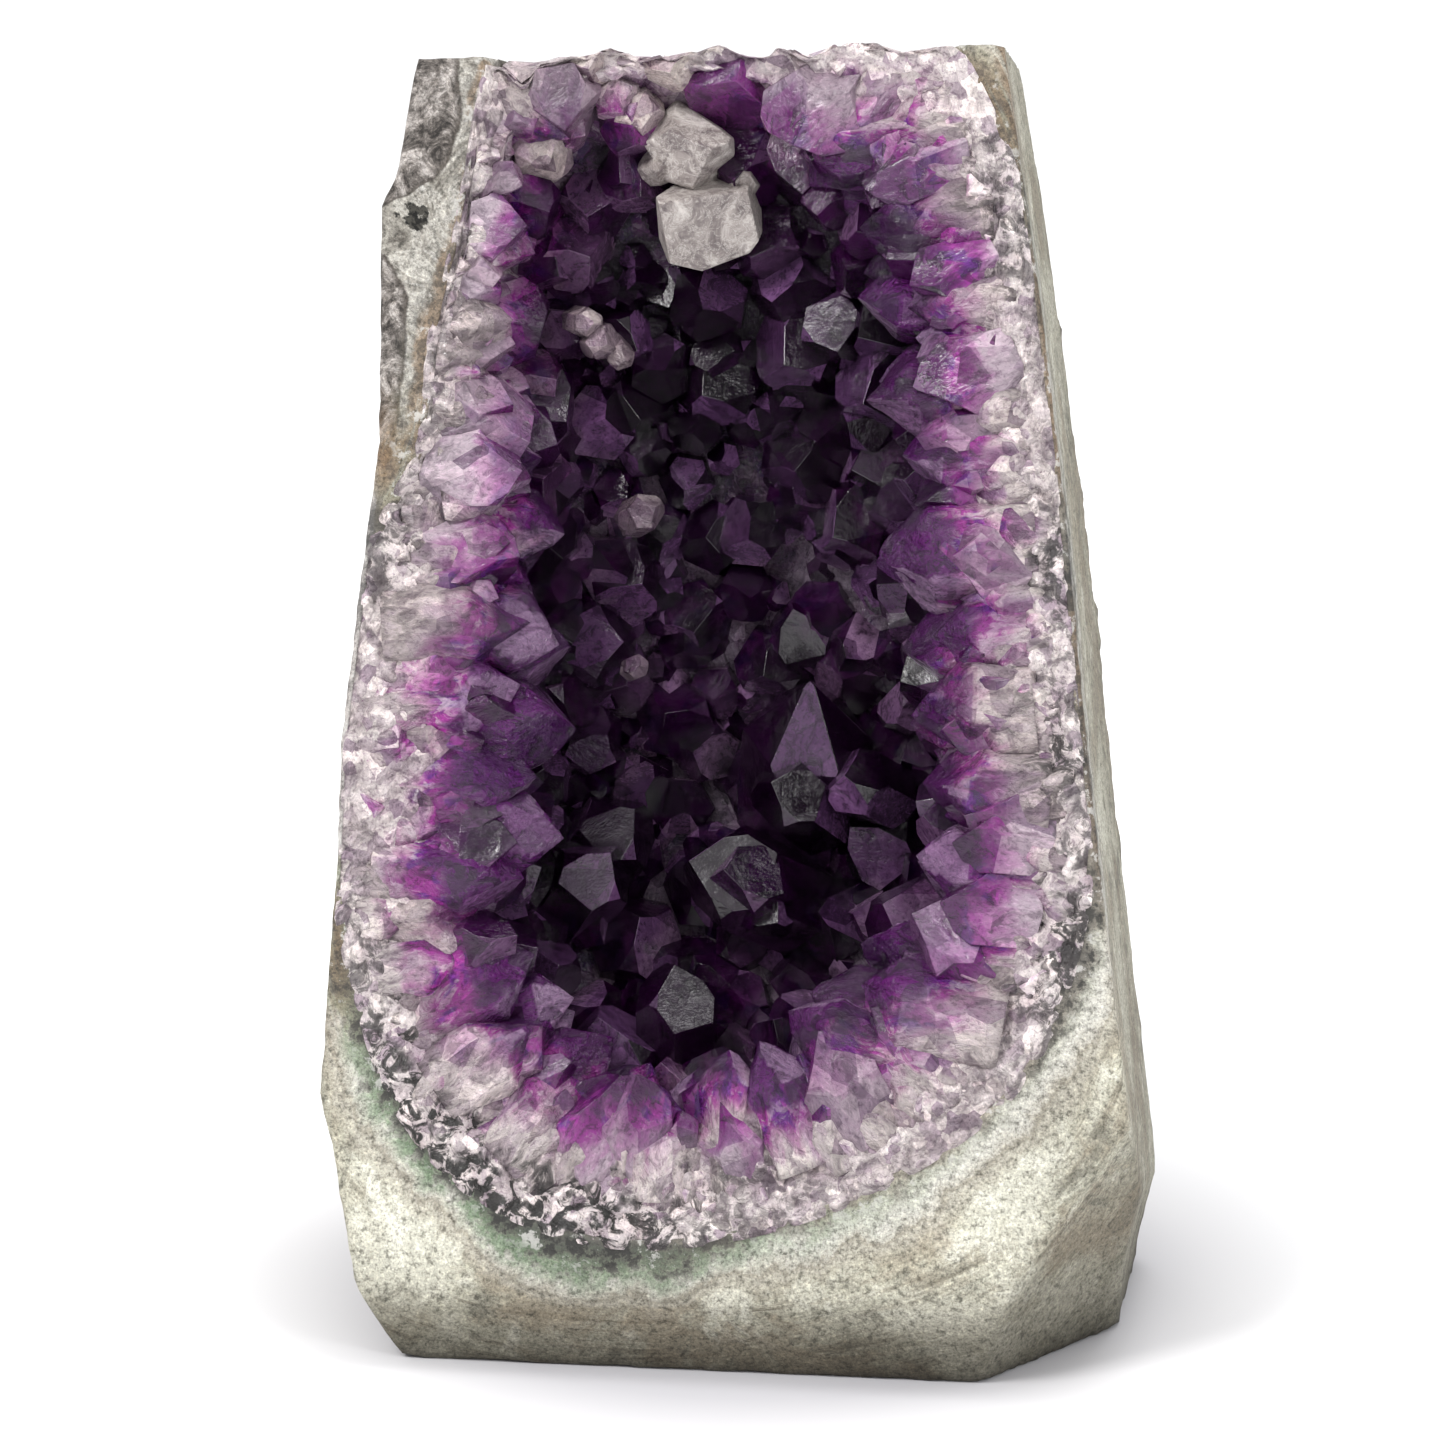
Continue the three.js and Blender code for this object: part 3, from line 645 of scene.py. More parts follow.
def lining_rings():
    """Rows up the wall, across the band on the sawn face, and down the bowl of roots. The band
    starts a little outside the wall, at the rock's face, and its grains rise through it."""
    angle = whole_turn(LINING_COLUMNS)
    up_wall = np.sin(np.linspace(0.1, 0.94, LINING_WALL_ROWS) * math.pi / 2)[:, None]
    down_root = np.sin(np.linspace(1, 0.05, LINING_FLOOR_ROWS) * math.pi / 2)[:, None]
    wall = bowl_place(WALL_CURVE, WALL_DEPTH, angle, up_wall, RIDGE_WIDTH + 0.3)
    root = bowl_place(ROOT_CURVE, ROOT_DEPTH, angle, down_root)
    edge = curve_radius(WALL_CURVE, angle) + LINING_SPILL
    lip = at_polar(angle, np.minimum(edge, outline_radius(angle) - LINING_CLEAR))
    share = np.linspace(0, 1, LINING_BAND_ROWS)[:, None, None]
    band = lip * (1 - share) + root[0] * share
    band[..., 2] = 0.25 + 3.25 * share[..., 0]
    rings = np.concatenate([wall, band, root[1:]])
    shown = rings[LINING_WALL_ROWS:]
    raised = 2.6 * cell_relief(shown, GRAIN_SIZE, 3)
    raised += 0.8 * cell_relief(shown, GRAIN_SIZE * 0.45, 4)
    raised[:4] *= np.linspace(0.5, 0.95, 4)[:, None]
    inwards = ROCK_MIDDLE - shown
    inwards[:LINING_BAND_ROWS] = (0, 0, -1)
    rings[LINING_WALL_ROWS:] = shown + unit(inwards) * (raised[..., None] - 0.7)
    rings[..., 1] = np.minimum(rings[..., 1], top_limit(rings) - 0.2)
    return rings


def new_group(name, inputs, outputs):
    """An empty node group with its named sockets, and its two ends."""
    tree = bpy.data.node_groups.new(name, "ShaderNodeTree")
    for sockets, side in ((inputs, "INPUT"), (outputs, "OUTPUT")):
        for label, kind in sockets:
            tree.interface.new_socket(label, in_out=side, socket_type="NodeSocket" + kind)
    return tree, tree.nodes.new("NodeGroupInput").outputs, tree.nodes.new("NodeGroupOutput").inputs


def quartz_growth_group():
    """Milky roots, a lilac waist, a glowing zone with blue-violet cores and a dark tip, with milky
    veils and dark cracks drawn out along the crystal, and chips that tilt the surface a little.
    Chips are made brighter and darker, part random tone and part painted glints and shade. Faces
    of high lustre get a pale frost colour, part frost and part painted sheen; faces of low lustre
    get painted shade; and deeper in the hollow everything gets painted shade."""
    numbers = [(label, "Float") for label in (*CARRIED, "Chips", "Milk")]
    colours = [(label, "Color") for label in CRYSTAL_ZONES]
    tree, given, out = new_group("quartz_growth", [("Place", "Vector"), *numbers, *colours],
                                 (("Colour", "Color"), ("Roughness", "Float"), ("Relief", "Float")))
    place, growth, tone, lustre, deep, soot, chips, milk, *zones = given
    root, waist, glow, core, tip, frost_and_sheen = zones[:6]
    cloud = noise(place, 150, 3, 0.55, 0.6)
    veil = noise(place, 330, 5, 0.68, 0.8)
    fine = noise(place, 1300, 3, 0.78, 0.5)
    blot = noise(arrow("ADD", place, (0.31, 0.17, 0.23))[0], 210, 3, 0.6, 0.7)
    chip = node(tree, "TexVoronoi", {"Vector": place, "Scale": chips}).outputs
    dice = node(tree, "SeparateColor", {"Color": chip["Color"]}).outputs
    toned = scaled(tone, 0.36, calculate("SUBTRACT", growth, 0.26))
    zone = sway(veil, 0.35, sway(cloud, 0.9, toned))
    glowing = mix(mask(zone, 0.4, 0.58), mix(mask(zone, 0.26, 0.46), root, waist), glow)
    cored = mix(times(mask(blot, 0.5, 0.6), mask(zone, 0.44, 0.6), 0.9), glowing, core)
    tipped = mix(mask(zone, 0.62, 0.86), cored, tip)
    milky = mix(times(mask(veil, 0.51, 0.6), mask(zone, 0.9, 0.5), milk), tipped, frost_and_sheen)
    # Chips made brighter and darker at random: part random tone, part painted glints and shade.
    chip_tone_and_glint = ramp(dice["Red"], (0, 0.53, 0.44, 0.54), (0.35, 0.92, 0.89, 0.9),
                 (0.75, 1.06, 1.04, 1.03), (1, 1.47, 1.43, 1.4))
    crack = times(mask(veil, 0.46, 0.38), scaled(mask(zone, 0.12, 0.5), 0.4, 0.45))
    cracked = tint(tint(milky, chip_tone_and_glint), (0.3, 0.21, 0.31), crack)
    speck = times(mask(veil, 0.55, 0.47), mask(zone, 0.28, -0.02), soot)
    specked = mix(speck, cracked, (0.035, 0.035, 0.033))
    shade = ramp(tone, (0, 0.6, 0.55, 0.58), (1, 1, 1, 1))
    grainy = ramp(fine, (0.34, 0.56, 0.5, 0.56), (0.46, 0.96, 0.96, 0.95),
                  (0.58, 1.07, 1.06, 1.05), (0.68, 1.47, 1.43, 1.4))
    # Painted shade on faces of low lustre.
    painted_face_shade = times(mask(lustre, 0.4, 0), mask(zone, 0, 0.4), 0.8)
    grained = tint(tint(tint(specked, shade), grainy), (0.42, 0.23, 0.5), painted_face_shade)
    # Painted shade deeper in the hollow.
    painted_depth_shade = ramp(deep, (0, 1, 1, 1), (0.16, 0.86, 0.82, 0.88),
                 (0.5, 0.44, 0.38, 0.48), (1, 0.24, 0.2, 0.28))
    veiled = scaled(mask(veil, 0.34, 0.54), 0.6, 0.4)
    # Faces of high lustre get the pale frost colour, part frost and part painted sheen.
    satin_sheen = times(mask(lustre, 0.6, 0.95), mask(zone, 0.05, 0.5), veiled, 0.62)
    frosted_sheen = mix(mask(zone, 0.42, 0.8), frost_and_sheen, tint(frost_and_sheen, (0.5, 0.38, 0.57)))
    colour = mix(satin_sheen, tint(grained, painted_depth_shade), tint(tint(grainy, frosted_sheen), chip_tone_and_glint))
    dulled = scaled(mask(dice["Green"], 0.35, 0.95), 0.2, 0.04)
    chip_lean = arrow("SUBTRACT", chip["Color"], (0.5, 0.5, 0.5))[0]
    tilt = arrow("DOT_PRODUCT", arrow("SUBTRACT", place, chip["Position"])[0], chip_lean)["Value"]
    feed(out[0].node, {
        "Colour": colour, "Roughness": scaled(mask(zone, 0.5, 0.15), 0.16, dulled),
        "Relief": scaled(fine, 0.0007, scaled(veil, 0.0022, tilt)),
    })
    return tree


quartz_growth = quartz_growth_group()


def quartz_material(name, colours, transmission, relief, chips, milk, shine, stain=None, coat=0):
    """Glassy quartz: light passes through it and is stained; the growth group lays its colours."""
    material, shader, _ = new_material(name)
    tree = material.node_tree
    given = {"Place": attribute(tree, "grown", "Vector"), "Chips": chips, "Milk": milk}
    given |= {label: attribute(tree, label.lower()) for label in CARRIED}
    given |= dict(zip(CRYSTAL_ZONES, colours))
    growth = node(tree, "Group", node_tree=quartz_growth)
    feed(growth, given)
    growth = growth.outputs
    feed(shader, {
        "Base Color": growth["Colour"], "Roughness": growth["Roughness"],
        "Transmission Weight": transmission, "IOR": QUARTZ_IOR, "Specular IOR Level": shine,
        "Coat Weight": coat, "Coat Roughness": 0.06, "Normal": bump(growth["Relief"], relief, 1),
    })
    if stain:
        inputs = {"Color": stain[0], "Density": stain[1]}
        volume = node(tree, "VolumeAbsorption", inputs).outputs["Volume"]
        feed(next(n for n in tree.nodes if n.type == "OUTPUT_MATERIAL"), {"Volume": volume})
    return material


def growth_of(places):
    """Growth inwards: 0 at the rock and 1 at 24 millimetres from it. Near the sawn top, where
    the crust closes over the hollow, it is less, and so it is on the sides that stayed white."""
    grown = np.minimum(-wall_distance(places), 3.5 + 1.2 * top_height(places)) / 24
    grown = np.clip(grown, 0, 1.4)
    return grown * (1 - 0.34 * around_hollow(places, WHITE_ARCS) * np.clip(1.5 - grown, 0, 1))


def depth_of(places):
    """Depth in the hollow, which sets the painted shade there: 0 at the sawn face and 1 at 30
    millimetres, less near the sawn top.
    """
    below = np.maximum(top_height(places), 0)
    return np.clip(np.minimum(places[..., 2], 1.4 * below) / 30, 0, 1)


MILKY_COLOURS = ((0.62, 0.585, 0.575), (0.43, 0.33, 0.39), (0.13, 0.035, 0.14),
                 (0.06, 0.02, 0.12), (0.03, 0.008, 0.036), (0.7, 0.66, 0.66))
milky_quartz = quartz_material("milky_quartz", MILKY_COLOURS, 0, 0.6, 420, 0.6, 0.4)
lining_places = lining_rings()
lining_floor = bowl_place(ROOT_CURVE, ROOT_DEPTH, np.array(0), np.array(0))
lining_points, lining_faces = closed_rings(lining_places, deepest - [0, 0, 0.3], lining_floor)
lining_v = lining_points[:, 1]
# Random tone; near the sawn top tone is raised and soot cut: painted light over the shade there.
lining_tone_and_top_light = 0.5 + 0.6 * value_noise(lining_points, 3, 8) + 0.6 * (lining_v > 100)
lining_soot = 0.3 + 0.7 * around_hollow(lining_points, SOOT_ARCS)
lining_corners = {
    "growth": growth_of(lining_points), "deep": depth_of(lining_points),
    "tone": np.clip(lining_tone_and_top_light, 0, 1), "lustre": np.full(len(lining_points), 0.5),
    "soot": np.where(lining_v > 96, 0.1, lining_soot), "grown": lining_points * MILLIMETRE,
}
make_piece("quartz_lining", face_point(lining_points), lining_faces, milky_quartz, lining_corners)


# The rim of the crust
# Rows of quartz columns rooted in the lining all round the hollow, white at the root and amethyst
# at the tip, longer towards the hollow. They overlap like scales, and their faces are worn.

POINT_STEEPNESS = 1.27
ROOT_INSET = 6.5
RIM_SPACING = 12.5
TIP_COVER = 0.75
SAW_CLEAR = 1.5
TOP_CLEAR = 0.7
WORN_COLUMNS = 36
WORN_SHAFT_ROWS = 7
WORN_POINT_ROWS = 15
GEM_PLACE = (-0.8, 99)
GEM_ROOM = 12
CLEARINGS = ((*GEM_PLACE, GEM_ROOM), (-13, 99, 8.5), (-24, 99.6, 7.5), (-30.8, 87, 5))
TIP_CURVE = (
    (-29, 92.3), (-37.7, 65.3), (-33.8, 46.5), (-29.1, 24.6), (-26, 2.6), (-28.4, -21.2),
    (-32.6, -37.1), (-20.9, -54), (1.5, -54.6), (18.6, -46), (32.1, -26.6), (36, -3),
    (24.2, 20), (26.5, 43.5), (22.6, 66.9), (18.7, 87.1), (-6.9, 97.4),
)


def rim_column(place, root, half, share, rise):
    """One column from the wall towards the middle line, over a share of the way to the tips."""
    aim_at = np.array([-2, min(max(root[1] * 0.95, -34), 82), root[2]])
    way = unit(aim_at - root)
    way[:2] += 0.36 * (chance(place, np.array([1, 2])) - 0.5)
    way[2] = -rise - 0.2 * chance(place, 3) + root[2] * 0.02
    way = unit(way)
    steps = np.arange(0.5, 40.5, 0.5)
    angle, far = polar(root[:2] + way[:2] * steps[:, None])
    inside = far < curve_radius(TIP_CURVE, angle)
    reach = steps[np.argmax(inside)] if inside.any() else 40
    inwards = -1.5 + 3.0 * (root[0] > 10) + 9 * (chance(place, 5) - 0.5)
    length = max(8.0 * share, (reach + inwards) * share)
    tip = root + way * length
    tip[2] = max(TIP_COVER * half, tip[2])
    return tuple(tip), tuple(way), half, length, 120 * chance(place, 6)


def is_clear(crystal):
    """Whether a crystal's tip leaves room for the gem and for the cream crystals."""
    return all(math.dist(crystal[0][:2], (u, v)) > room for u, v, room in CLEARINGS)


def rim_row(spacing, first, half_low, half_more, deep, inset, share, rise):
    """Columns at equal steps along the wall, side by side, up to the top of the sawn face."""
    angle = np.radians(np.arange(0, 360, 0.5))
    path = at_polar(angle, curve_radius(WALL_CURVE, angle) - inset, deep)
    grown, walked, place = [], 0, first
    for before, at in zip((path[0], *path), path):
        walked += np.linalg.norm(at - before)
        if (grown and walked < spacing) or at[1] > 112:
            continue
        walked = 0
        place += 1
        half = (half_low + half_more * chance(place, 4)) * (0.85 + 0.4 * abs(at[0]) / 60)
        grown.append(rim_column(place, at, half, share, rise))
    return [column for column in grown if is_clear(column)]


def crystal_frames(crystals, seed, uneven_sides, lift, more_lift):
    """The shapes of crystals: the tip, the half width, the length, the angles and distances of
    their six sides, how far three of the six end faces stand back, and their three axes. With an
    angle of 0 the first side looks out of the hollow."""
    tip, way, half, length, turn = (np.array(part, float) for part in zip(*crystals))
    dice = np.random.default_rng(seed)
    axis = unit(face_direction(way))
    out = face_direction(np.array([0.06, 0.13, -1]))
    side = unit(out - (axis @ out)[:, None] * axis)
    axes = np.stack([side, np.cross(axis, side), axis], 1)
    sides = np.radians(turn)[:, None] + np.arange(6) * math.pi / 3
    apothem = half[:, None] * (1 + uneven_sides * (dice.random((len(half), 6)) - 0.5))
    ends = np.zeros((len(half), 6))
    ends[:, 1::2] = (half * POINT_STEEPNESS * (lift + more_lift * dice.random(len(half))))[:, None]
    return face_point(tip)[:, None], half, length, sides, apothem, ends, axes, dice


def for_each(places, dice, *more):
    """Random numbers for each crystal, shaped so that they go with its corners."""
    return dice.random((len(places),) + (1,) * (places.ndim - 2) + more)


def keep_in_block(places, dice):
    """Corners drawn inside the bowl's wall and the block's sides, its sawn face and its top."""
    centre = np.array([*HOLLOW_CENTRE, 0])
    flat = np.arange(3) < 2
    for _ in range(2):
        shrink = np.minimum(1, 0.985 / wall_size(places))[..., None]
        away = places - centre
        away = away * np.where(flat | (away > 0), shrink, 1)
        angle, far = polar(centre + away)
        limit = outline_radius(angle) - 0.4 - np.clip((places[..., 0] - 15) / 20, 0, 1)
        places = centre + away * np.where(flat, np.minimum(1, limit / far)[..., None], 1)
    proud = for_each(places, dice)
    places[..., 2] = np.maximum(places[..., 2], -SAW_CLEAR * proud)
    places[..., 1] = np.minimum(places[..., 1], top_limit(places) + TOP_CLEAR * proud)
    return places


def crystal_numbers(places, dice):
    """The growth, depth, tone and soot that the corners of each crystal carry."""
    return {
        "growth": growth_of(places),
        "deep": depth_of(places),
        "tone": np.broadcast_to(for_each(places, dice), places.shape[:-1]),
        "soot": 0.2 + 0.8 * around_hollow(places, SOOT_ARCS),
    }


def own_places(local, dice):
    """Places in each crystal's own frame, shortened along its axis and moved by a random step."""
    return (local * (1, 1, 0.62) + for_each(local, dice, 3) * 300) * MILLIMETRE


def repeated(faces, corners, count):
    """The faces of one shape for each of many, each with so many corners of its own."""
    return [[i + corners * n for i in face] for n in range(count) for face in faces]


def worn_columns(name, crystals, seed, wear, dents):
    """Each column is a grid of turn and height. The radius is the smallest of the distances to its
    six sides and six end faces, blended so that edges are worn, and dented by noise."""
    frames = crystal_frames(crystals, seed, 0.26, 0.1, 0.2)
    tip, half, length, sides, apothem, ends, axes, dice = frames
    count = len(crystals)
    turn = whole_turn(WORN_COLUMNS)
    shoulder = -half * POINT_STEEPNESS * 1.35
    shaft = np.linspace(0, 1, WORN_SHAFT_ROWS, endpoint=False)
    point = 1 - np.linspace(1, 0.02, WORN_POINT_ROWS) ** 1.25
    height = np.concatenate([(shoulder + length)[:, None] * shaft - length[:, None],
                             shoulder[:, None] * (1 - point)], axis=1)
    facing = np.cos(turn[None, :, None] - sides[:, None, :])
    open_to = np.where(facing > 0.15, facing, np.nan)[:, None]
    sloped = (ends[:, None, None, :] - height[:, :, None, None]) / (POINT_STEEPNESS * open_to)
    prism = np.broadcast_to(apothem[:, None, None, :] / open_to, sloped.shape)
    reach = np.concatenate([prism, sloped], axis=-1)
    nearest_side = np.nanargmin(reach, axis=-1).reshape(count, -1)
    radius = np.maximum(soft_least(reach, wear), 0.02)
    local = join(radius * np.cos(turn), radius * np.sin(turn), height[:, :, None])
    spots = np.einsum("nrcj,njk->nrck", local, axes) * MILLIMETRE + tip[:, None]
    outward = np.einsum("cj,njk->nck", join(np.cos(turn), np.sin(turn), 0), axes)[:, None]
    dent = rough_noise(face_place(spots), 4.2, seed, 3) * dents * np.minimum(1, radius / 2)
    places = keep_in_block(face_place(spots + outward * dent[..., None] * MILLIMETRE), dice)
    feet, peaks = places[:, :1].mean(axis=2), places[:, -1:].mean(axis=2)
    points = np.concatenate([places.reshape(count, -1, 3), feet, peaks], axis=1)
    foot_at = join(0, 0, -length)[:, None]
    local = np.concatenate([local.reshape(count, -1, 3), foot_at, 0 * foot_at], axis=1)
    own = own_places(local, dice)
    shell = closed_rings(places[0], feet[0, 0], peaks[0, 0])[1]
    numbers = crystal_numbers(points, dice)
    # Each face of a column gets a lustre at random, which sets its painted sheen and shade.
    drawn = np.take_along_axis(dice.random((count, 12)) * 0.96, nearest_side, axis=1)
    numbers["lustre"] = np.pad(drawn, ((0, 0), (0, 2)), constant_values=0.5)
    numbers["grown"] = own
    faces = repeated(shell, points.shape[1], count)
    make_piece(name, face_point(points), faces, rim_quartz, numbers, smooth=True)


RIM_COLOURS = ((0.65, 0.605, 0.59), (0.48, 0.28, 0.42), (0.34, 0.035, 0.3), (0.13, 0.018, 0.26),
               (0.1, 0.008, 0.125), (0.72, 0.655, 0.68))
rim_quartz = quartz_material("rim_amethyst", RIM_COLOURS, 0.3, 0.8, 330, 0.6, 0.28)

rim_main = rim_row(RIM_SPACING, 5000, 5, 1.8, 5.5, ROOT_INSET, 1, 0.12)
rim_behind = rim_row(8.5, 8000, 4, 1.8, 12, 5.5, 1.06, 0.22)
rim_scales = rim_row(9, 7000, 3.9, 1.9, 4.8, 4.4, 0.66, 0.2)
rim_mid = rim_row(6.6, 9000, 3.1, 1.7, 3.8, 3.2, 0.47, 0.26)
worn_columns("rim_columns", rim_main + rim_behind, 11, 0.12, 0.4)
worn_columns("rim_scales", rim_scales + rim_mid, 12, 0.09, 0.3)


# The small points of the rim
# Short white and lilac points that crowd the outer edge of the crust and stand more upright to the
# sawn face. Each is a six-sided prism under three large and three small end faces.


def crystal_mesh(crystals, seed, uneven):
    """All crystals at once. Each corner is where three planes meet: sides, end faces and foot."""
    frames = crystal_frames(crystals, seed, 0.1, uneven * 0.18, uneven * 0.14)
    tip, half, length, sides, apothem, ends, axes, dice = frames
    count = len(crystals)
    lowered = dice.integers(0, 3, count) * 2
    ends[np.arange(count), lowered] -= uneven * half * POINT_STEEPNESS * 0.22 * dice.random(count)
    slopes = join(POINT_STEEPNESS * np.cos(sides), POINT_STEEPNESS * np.sin(sides), 1)
    planes = np.concatenate([join(np.cos(sides), np.sin(sides), 0), slopes,
                             np.tile([0.0, 0.0, 1.0], (count, 1, 1))], axis=1)
    offsets = np.concatenate([apothem, ends, -length[:, None]], axis=1)[..., None]
    meeting = [(k, (k + 1) % 6, 12) for k in range(6)]
    meeting += [(k, (k + 1) % 6, 6 + (k + k % 2) % 6) for k in range(6)]
    meeting += [(k, 6 + k, 6 + (k + step) % 6) for k in (1, 3, 5) for step in (-1, 1)]
    meeting += [(6 + k, 5 + k, 6 + (k + 1) % 6) for k in (1, 3, 5)] + [(6, 8, 10)]
    local = np.linalg.solve(planes[:, meeting], offsets[:, meeting])[..., 0]
    spots = np.einsum("nij,njk->nik", local, axes) * MILLIMETRE + tip
    faces = [(5, 4, 3, 2, 1, 0)]
    for k in range(6):
        last = (k + 5) % 6
        if k % 2:
            faces.append((last, k, 6 + k, 12 + k, 11 + k, 6 + last))
            faces.append((11 + k, 12 + k, 18 + k // 2))
        else:
            faces.append((last, k, 6 + k, 6 + last))
            faces.append((21, 18 + last // 2, 12 + last, 6 + last, 6 + k, 12 + k, 18 + k // 2))
    places = keep_in_block(face_place(spots), dice)
    return places, repeated(faces, len(meeting), count), len(faces), own_places(local, dice), dice


def grow_points(name, crystals, seed, material, frosted_sheen, bevel=0, growth=None, uneven=1,
                satin_sheen=None):
    """One piece of many sharp crystals, each with its own tone, and a lustre for each of its faces,
    which sets its pale frost colour, part frost and part painted sheen. The face numbered
    satin_sheen, if any, gets the most, and the side below it a little more than the rest."""
    places, faces, sides, own, dice = crystal_mesh(crystals, seed, uneven)
    lustre = dice.random((len(crystals), sides)) * frosted_sheen
    if satin_sheen is not None:
        lustre = np.full((len(crystals), sides), 0.5)
        lustre[:, satin_sheen - 1:satin_sheen + 1] = 0.7, frosted_sheen
    numbers = crystal_numbers(places, dice)
    numbers["grown"] = own
    if growth is not None:
        numbers["growth"] = np.full(places.shape[:-1], growth)
    piece = make_piece(name, face_point(places), faces, material, numbers, {"lustre": lustre})
    if bevel:
        worn = piece.modifiers.new("worn_edges", "BEVEL")
        worn.width = bevel * MILLIMETRE
        worn.segments = 1
        worn.limit_method = "ANGLE"
        worn.angle_limit = math.radians(20)
        worn.use_clamp_overlap = False


druse_quartz = quartz_material("rim_druse", RIM_COLOURS, 0, 0.7, 420, 0.6, 0.4)
rim_short = rim_row(5, 10000, 2.1, 1.7, 2.7, 2.2, 0.34, 0.32)
rim_druse = rim_row(3.4, 11000, 1.3, 1.3, 1.8, 1.2, 0.22, 0.45)
PALE_CRYSTALS = (
    ((-51.3, 23.9, -0.9), (0.35, -0.2, -0.91), 3.5, 9, 10),
    ((-53.5, 4.5, -0.8), (0.4, 0.1, -0.91), 6.2, 10, 22),
    ((-51.5, -6, -0.8), (0.5, -0.3, -0.81), 5.2, 10, 0),
    ((-54.5, -15.5, -0.8), (0.45, 0.1, -0.88), 4.4, 10, 15),
    ((-50.5, 13.5, -0.8), (0.45, 0.2, -0.87), 4, 10, 35),
    ((40, 60.5, -0.8), (-0.35, 0.1, -0.93), 3.6, 9, 15),
    ((36, 84, -0.8), (-0.3, -0.2, -0.93), 4, 9, 5),
    ((8.6, 103.2, 0.2), (-0.1, -0.5, -0.86), 3.4, 11, 10),
    ((14, 101.8, 0), (-0.2, -0.5, -0.85), 4.3, 12, 25),
    ((20, 101, 0.2), (-0.3, -0.45, -0.85), 4, 12, 5),
    ((12.4, 95.2, 1.6), (-0.2, -0.4, -0.9), 4.9, 14, 30),
    ((19.6, 94.4, 0.8), (-0.3, -0.3, -0.9), 4.6, 12, 12),
    ((27.5, 99.5, 0), (-0.35, -0.35, -0.87), 3.8, 10, 20),
    ((-17.6, 102.6, 0.4), (0.15, -0.5, -0.85), 3.3, 12, 30),
    ((-30.4, 101.4, 0.2), (0.25, -0.5, -0.83), 3.6, 12, 0),
    ((-19.6, 95.4, 2.4), (0.25, -0.45, -0.86), 3.6, 12, 22),
)
TOP_ROW = [
    ((u, 104.6 + 1.2 * chance(u, 1), 0.3 + 1.2 * chance(u, 2)),
     (0.4 * (chance(u, 3) - 0.5), -0.4, -0.9), 1.7 + 1.6 * chance(u, 4), 9, 120 * chance(u, 5))
    for u in np.arange(-39.5, 34, 2.9) if abs(u - GEM_PLACE[0]) > 7.5
]
rim_small = rim_short + rim_druse + list(PALE_CRYSTALS) + TOP_ROW
grow_points("rim_points", rim_small, 15, druse_quartz, 0.9, 0.12)


# The amethyst points inside the hollow
# Dark, glassy, sharp-edged points rooted all over the bowl behind the rim. The largest stand where
# the eye meets them first; the rest crowd between, and point out of the hollow.

ROOT_BURY = 6
TALL_CRYSTAL = ((11.4, 6.8, 19), (0.1, 0.76, -0.64), 9.2, 32, 5)
GEM_CRYSTAL = ((-1.4, 99.6, -1.2), (0.16, -0.22, -0.96), 8.2, 17, 30)
LARGE_CRYSTALS = (
    TALL_CRYSTAL,
    ((-6.6, -22.5, 15), (-0.62, 0.3, -0.72), 7.6, 24, 12),
    ((6.4, -9.5, 13.5), (-0.3, 0.3, -0.9), 5.6, 20, 15),
    ((17.2, -7.5, 14), (-0.35, 0.25, -0.9), 5.2, 18, 40),
    ((7.5, -32, 17), (0.35, -0.3, -0.88), 5, 16, 20),
    ((-1, -24, 12.5), (-0.3, 0.25, -0.92), 6.6, 22, 34),
    ((-8.1, -39.3, 14), (0.05, 0.8, -0.6), 6, 22, 30),
    ((-31, 37.5, 12), (0.45, 0.25, -0.86), 7.6, 22, 26),
    ((-16.7, 34.4, 30), (0.55, 0.3, -0.78), 5, 16, 0),
    GEM_CRYSTAL,
    ((-18, 58, 18), (0.5, -0.35, -0.79), 5.2, 14, 32),
    ((8.6, 84, 9), (0.1, -0.62, -0.78), 6.8, 18, 0),
    ((25, -28, 8), (-0.45, 0.35, -0.82), 7.2, 22, 15),
    ((18, 62, 13), (-0.5, -0.25, -0.83), 6.6, 18, 5),
    ((6.3, 18.5, 31), (-0.1, 0.6, -0.79), 5.6, 16, 0),
    ((-14, 66, 22), (0.1, -0.55, -0.83), 7.2, 20, 26),
    ((-16.4, -15, 24), (0.5, 0.5, -0.7), 6.2, 18, 0),
    ((16.2, 41, 22), (-0.6, -0.1, -0.79), 6.2, 18, 5),
    ((31, -13, 6), (-0.6, 0.2, -0.78), 5.4, 16, 12),
    ((-20, -22, 20), (0.45, 0.55, -0.7), 6, 20, 6),
    ((-20, 12, 24), (0.62, 0.1, -0.78), 6, 20, 0),
)


def growth_way(angle, reach):
    """The normal of the bowl of roots, from its slopes, leaning a little to the open face."""
    step = 0.04

    def place(turn, share):
        """The place on the bowl of roots that lies so far round and up from the root."""
        return bowl_place(ROOT_CURVE, ROOT_DEPTH, np.array(angle + turn), np.array(reach + share))

    way = unit(np.cross(place(step, 0) - place(-step, 0), place(0, 0) - place(0, -step)))
    way[2] -= 0.25
    return unit(way)


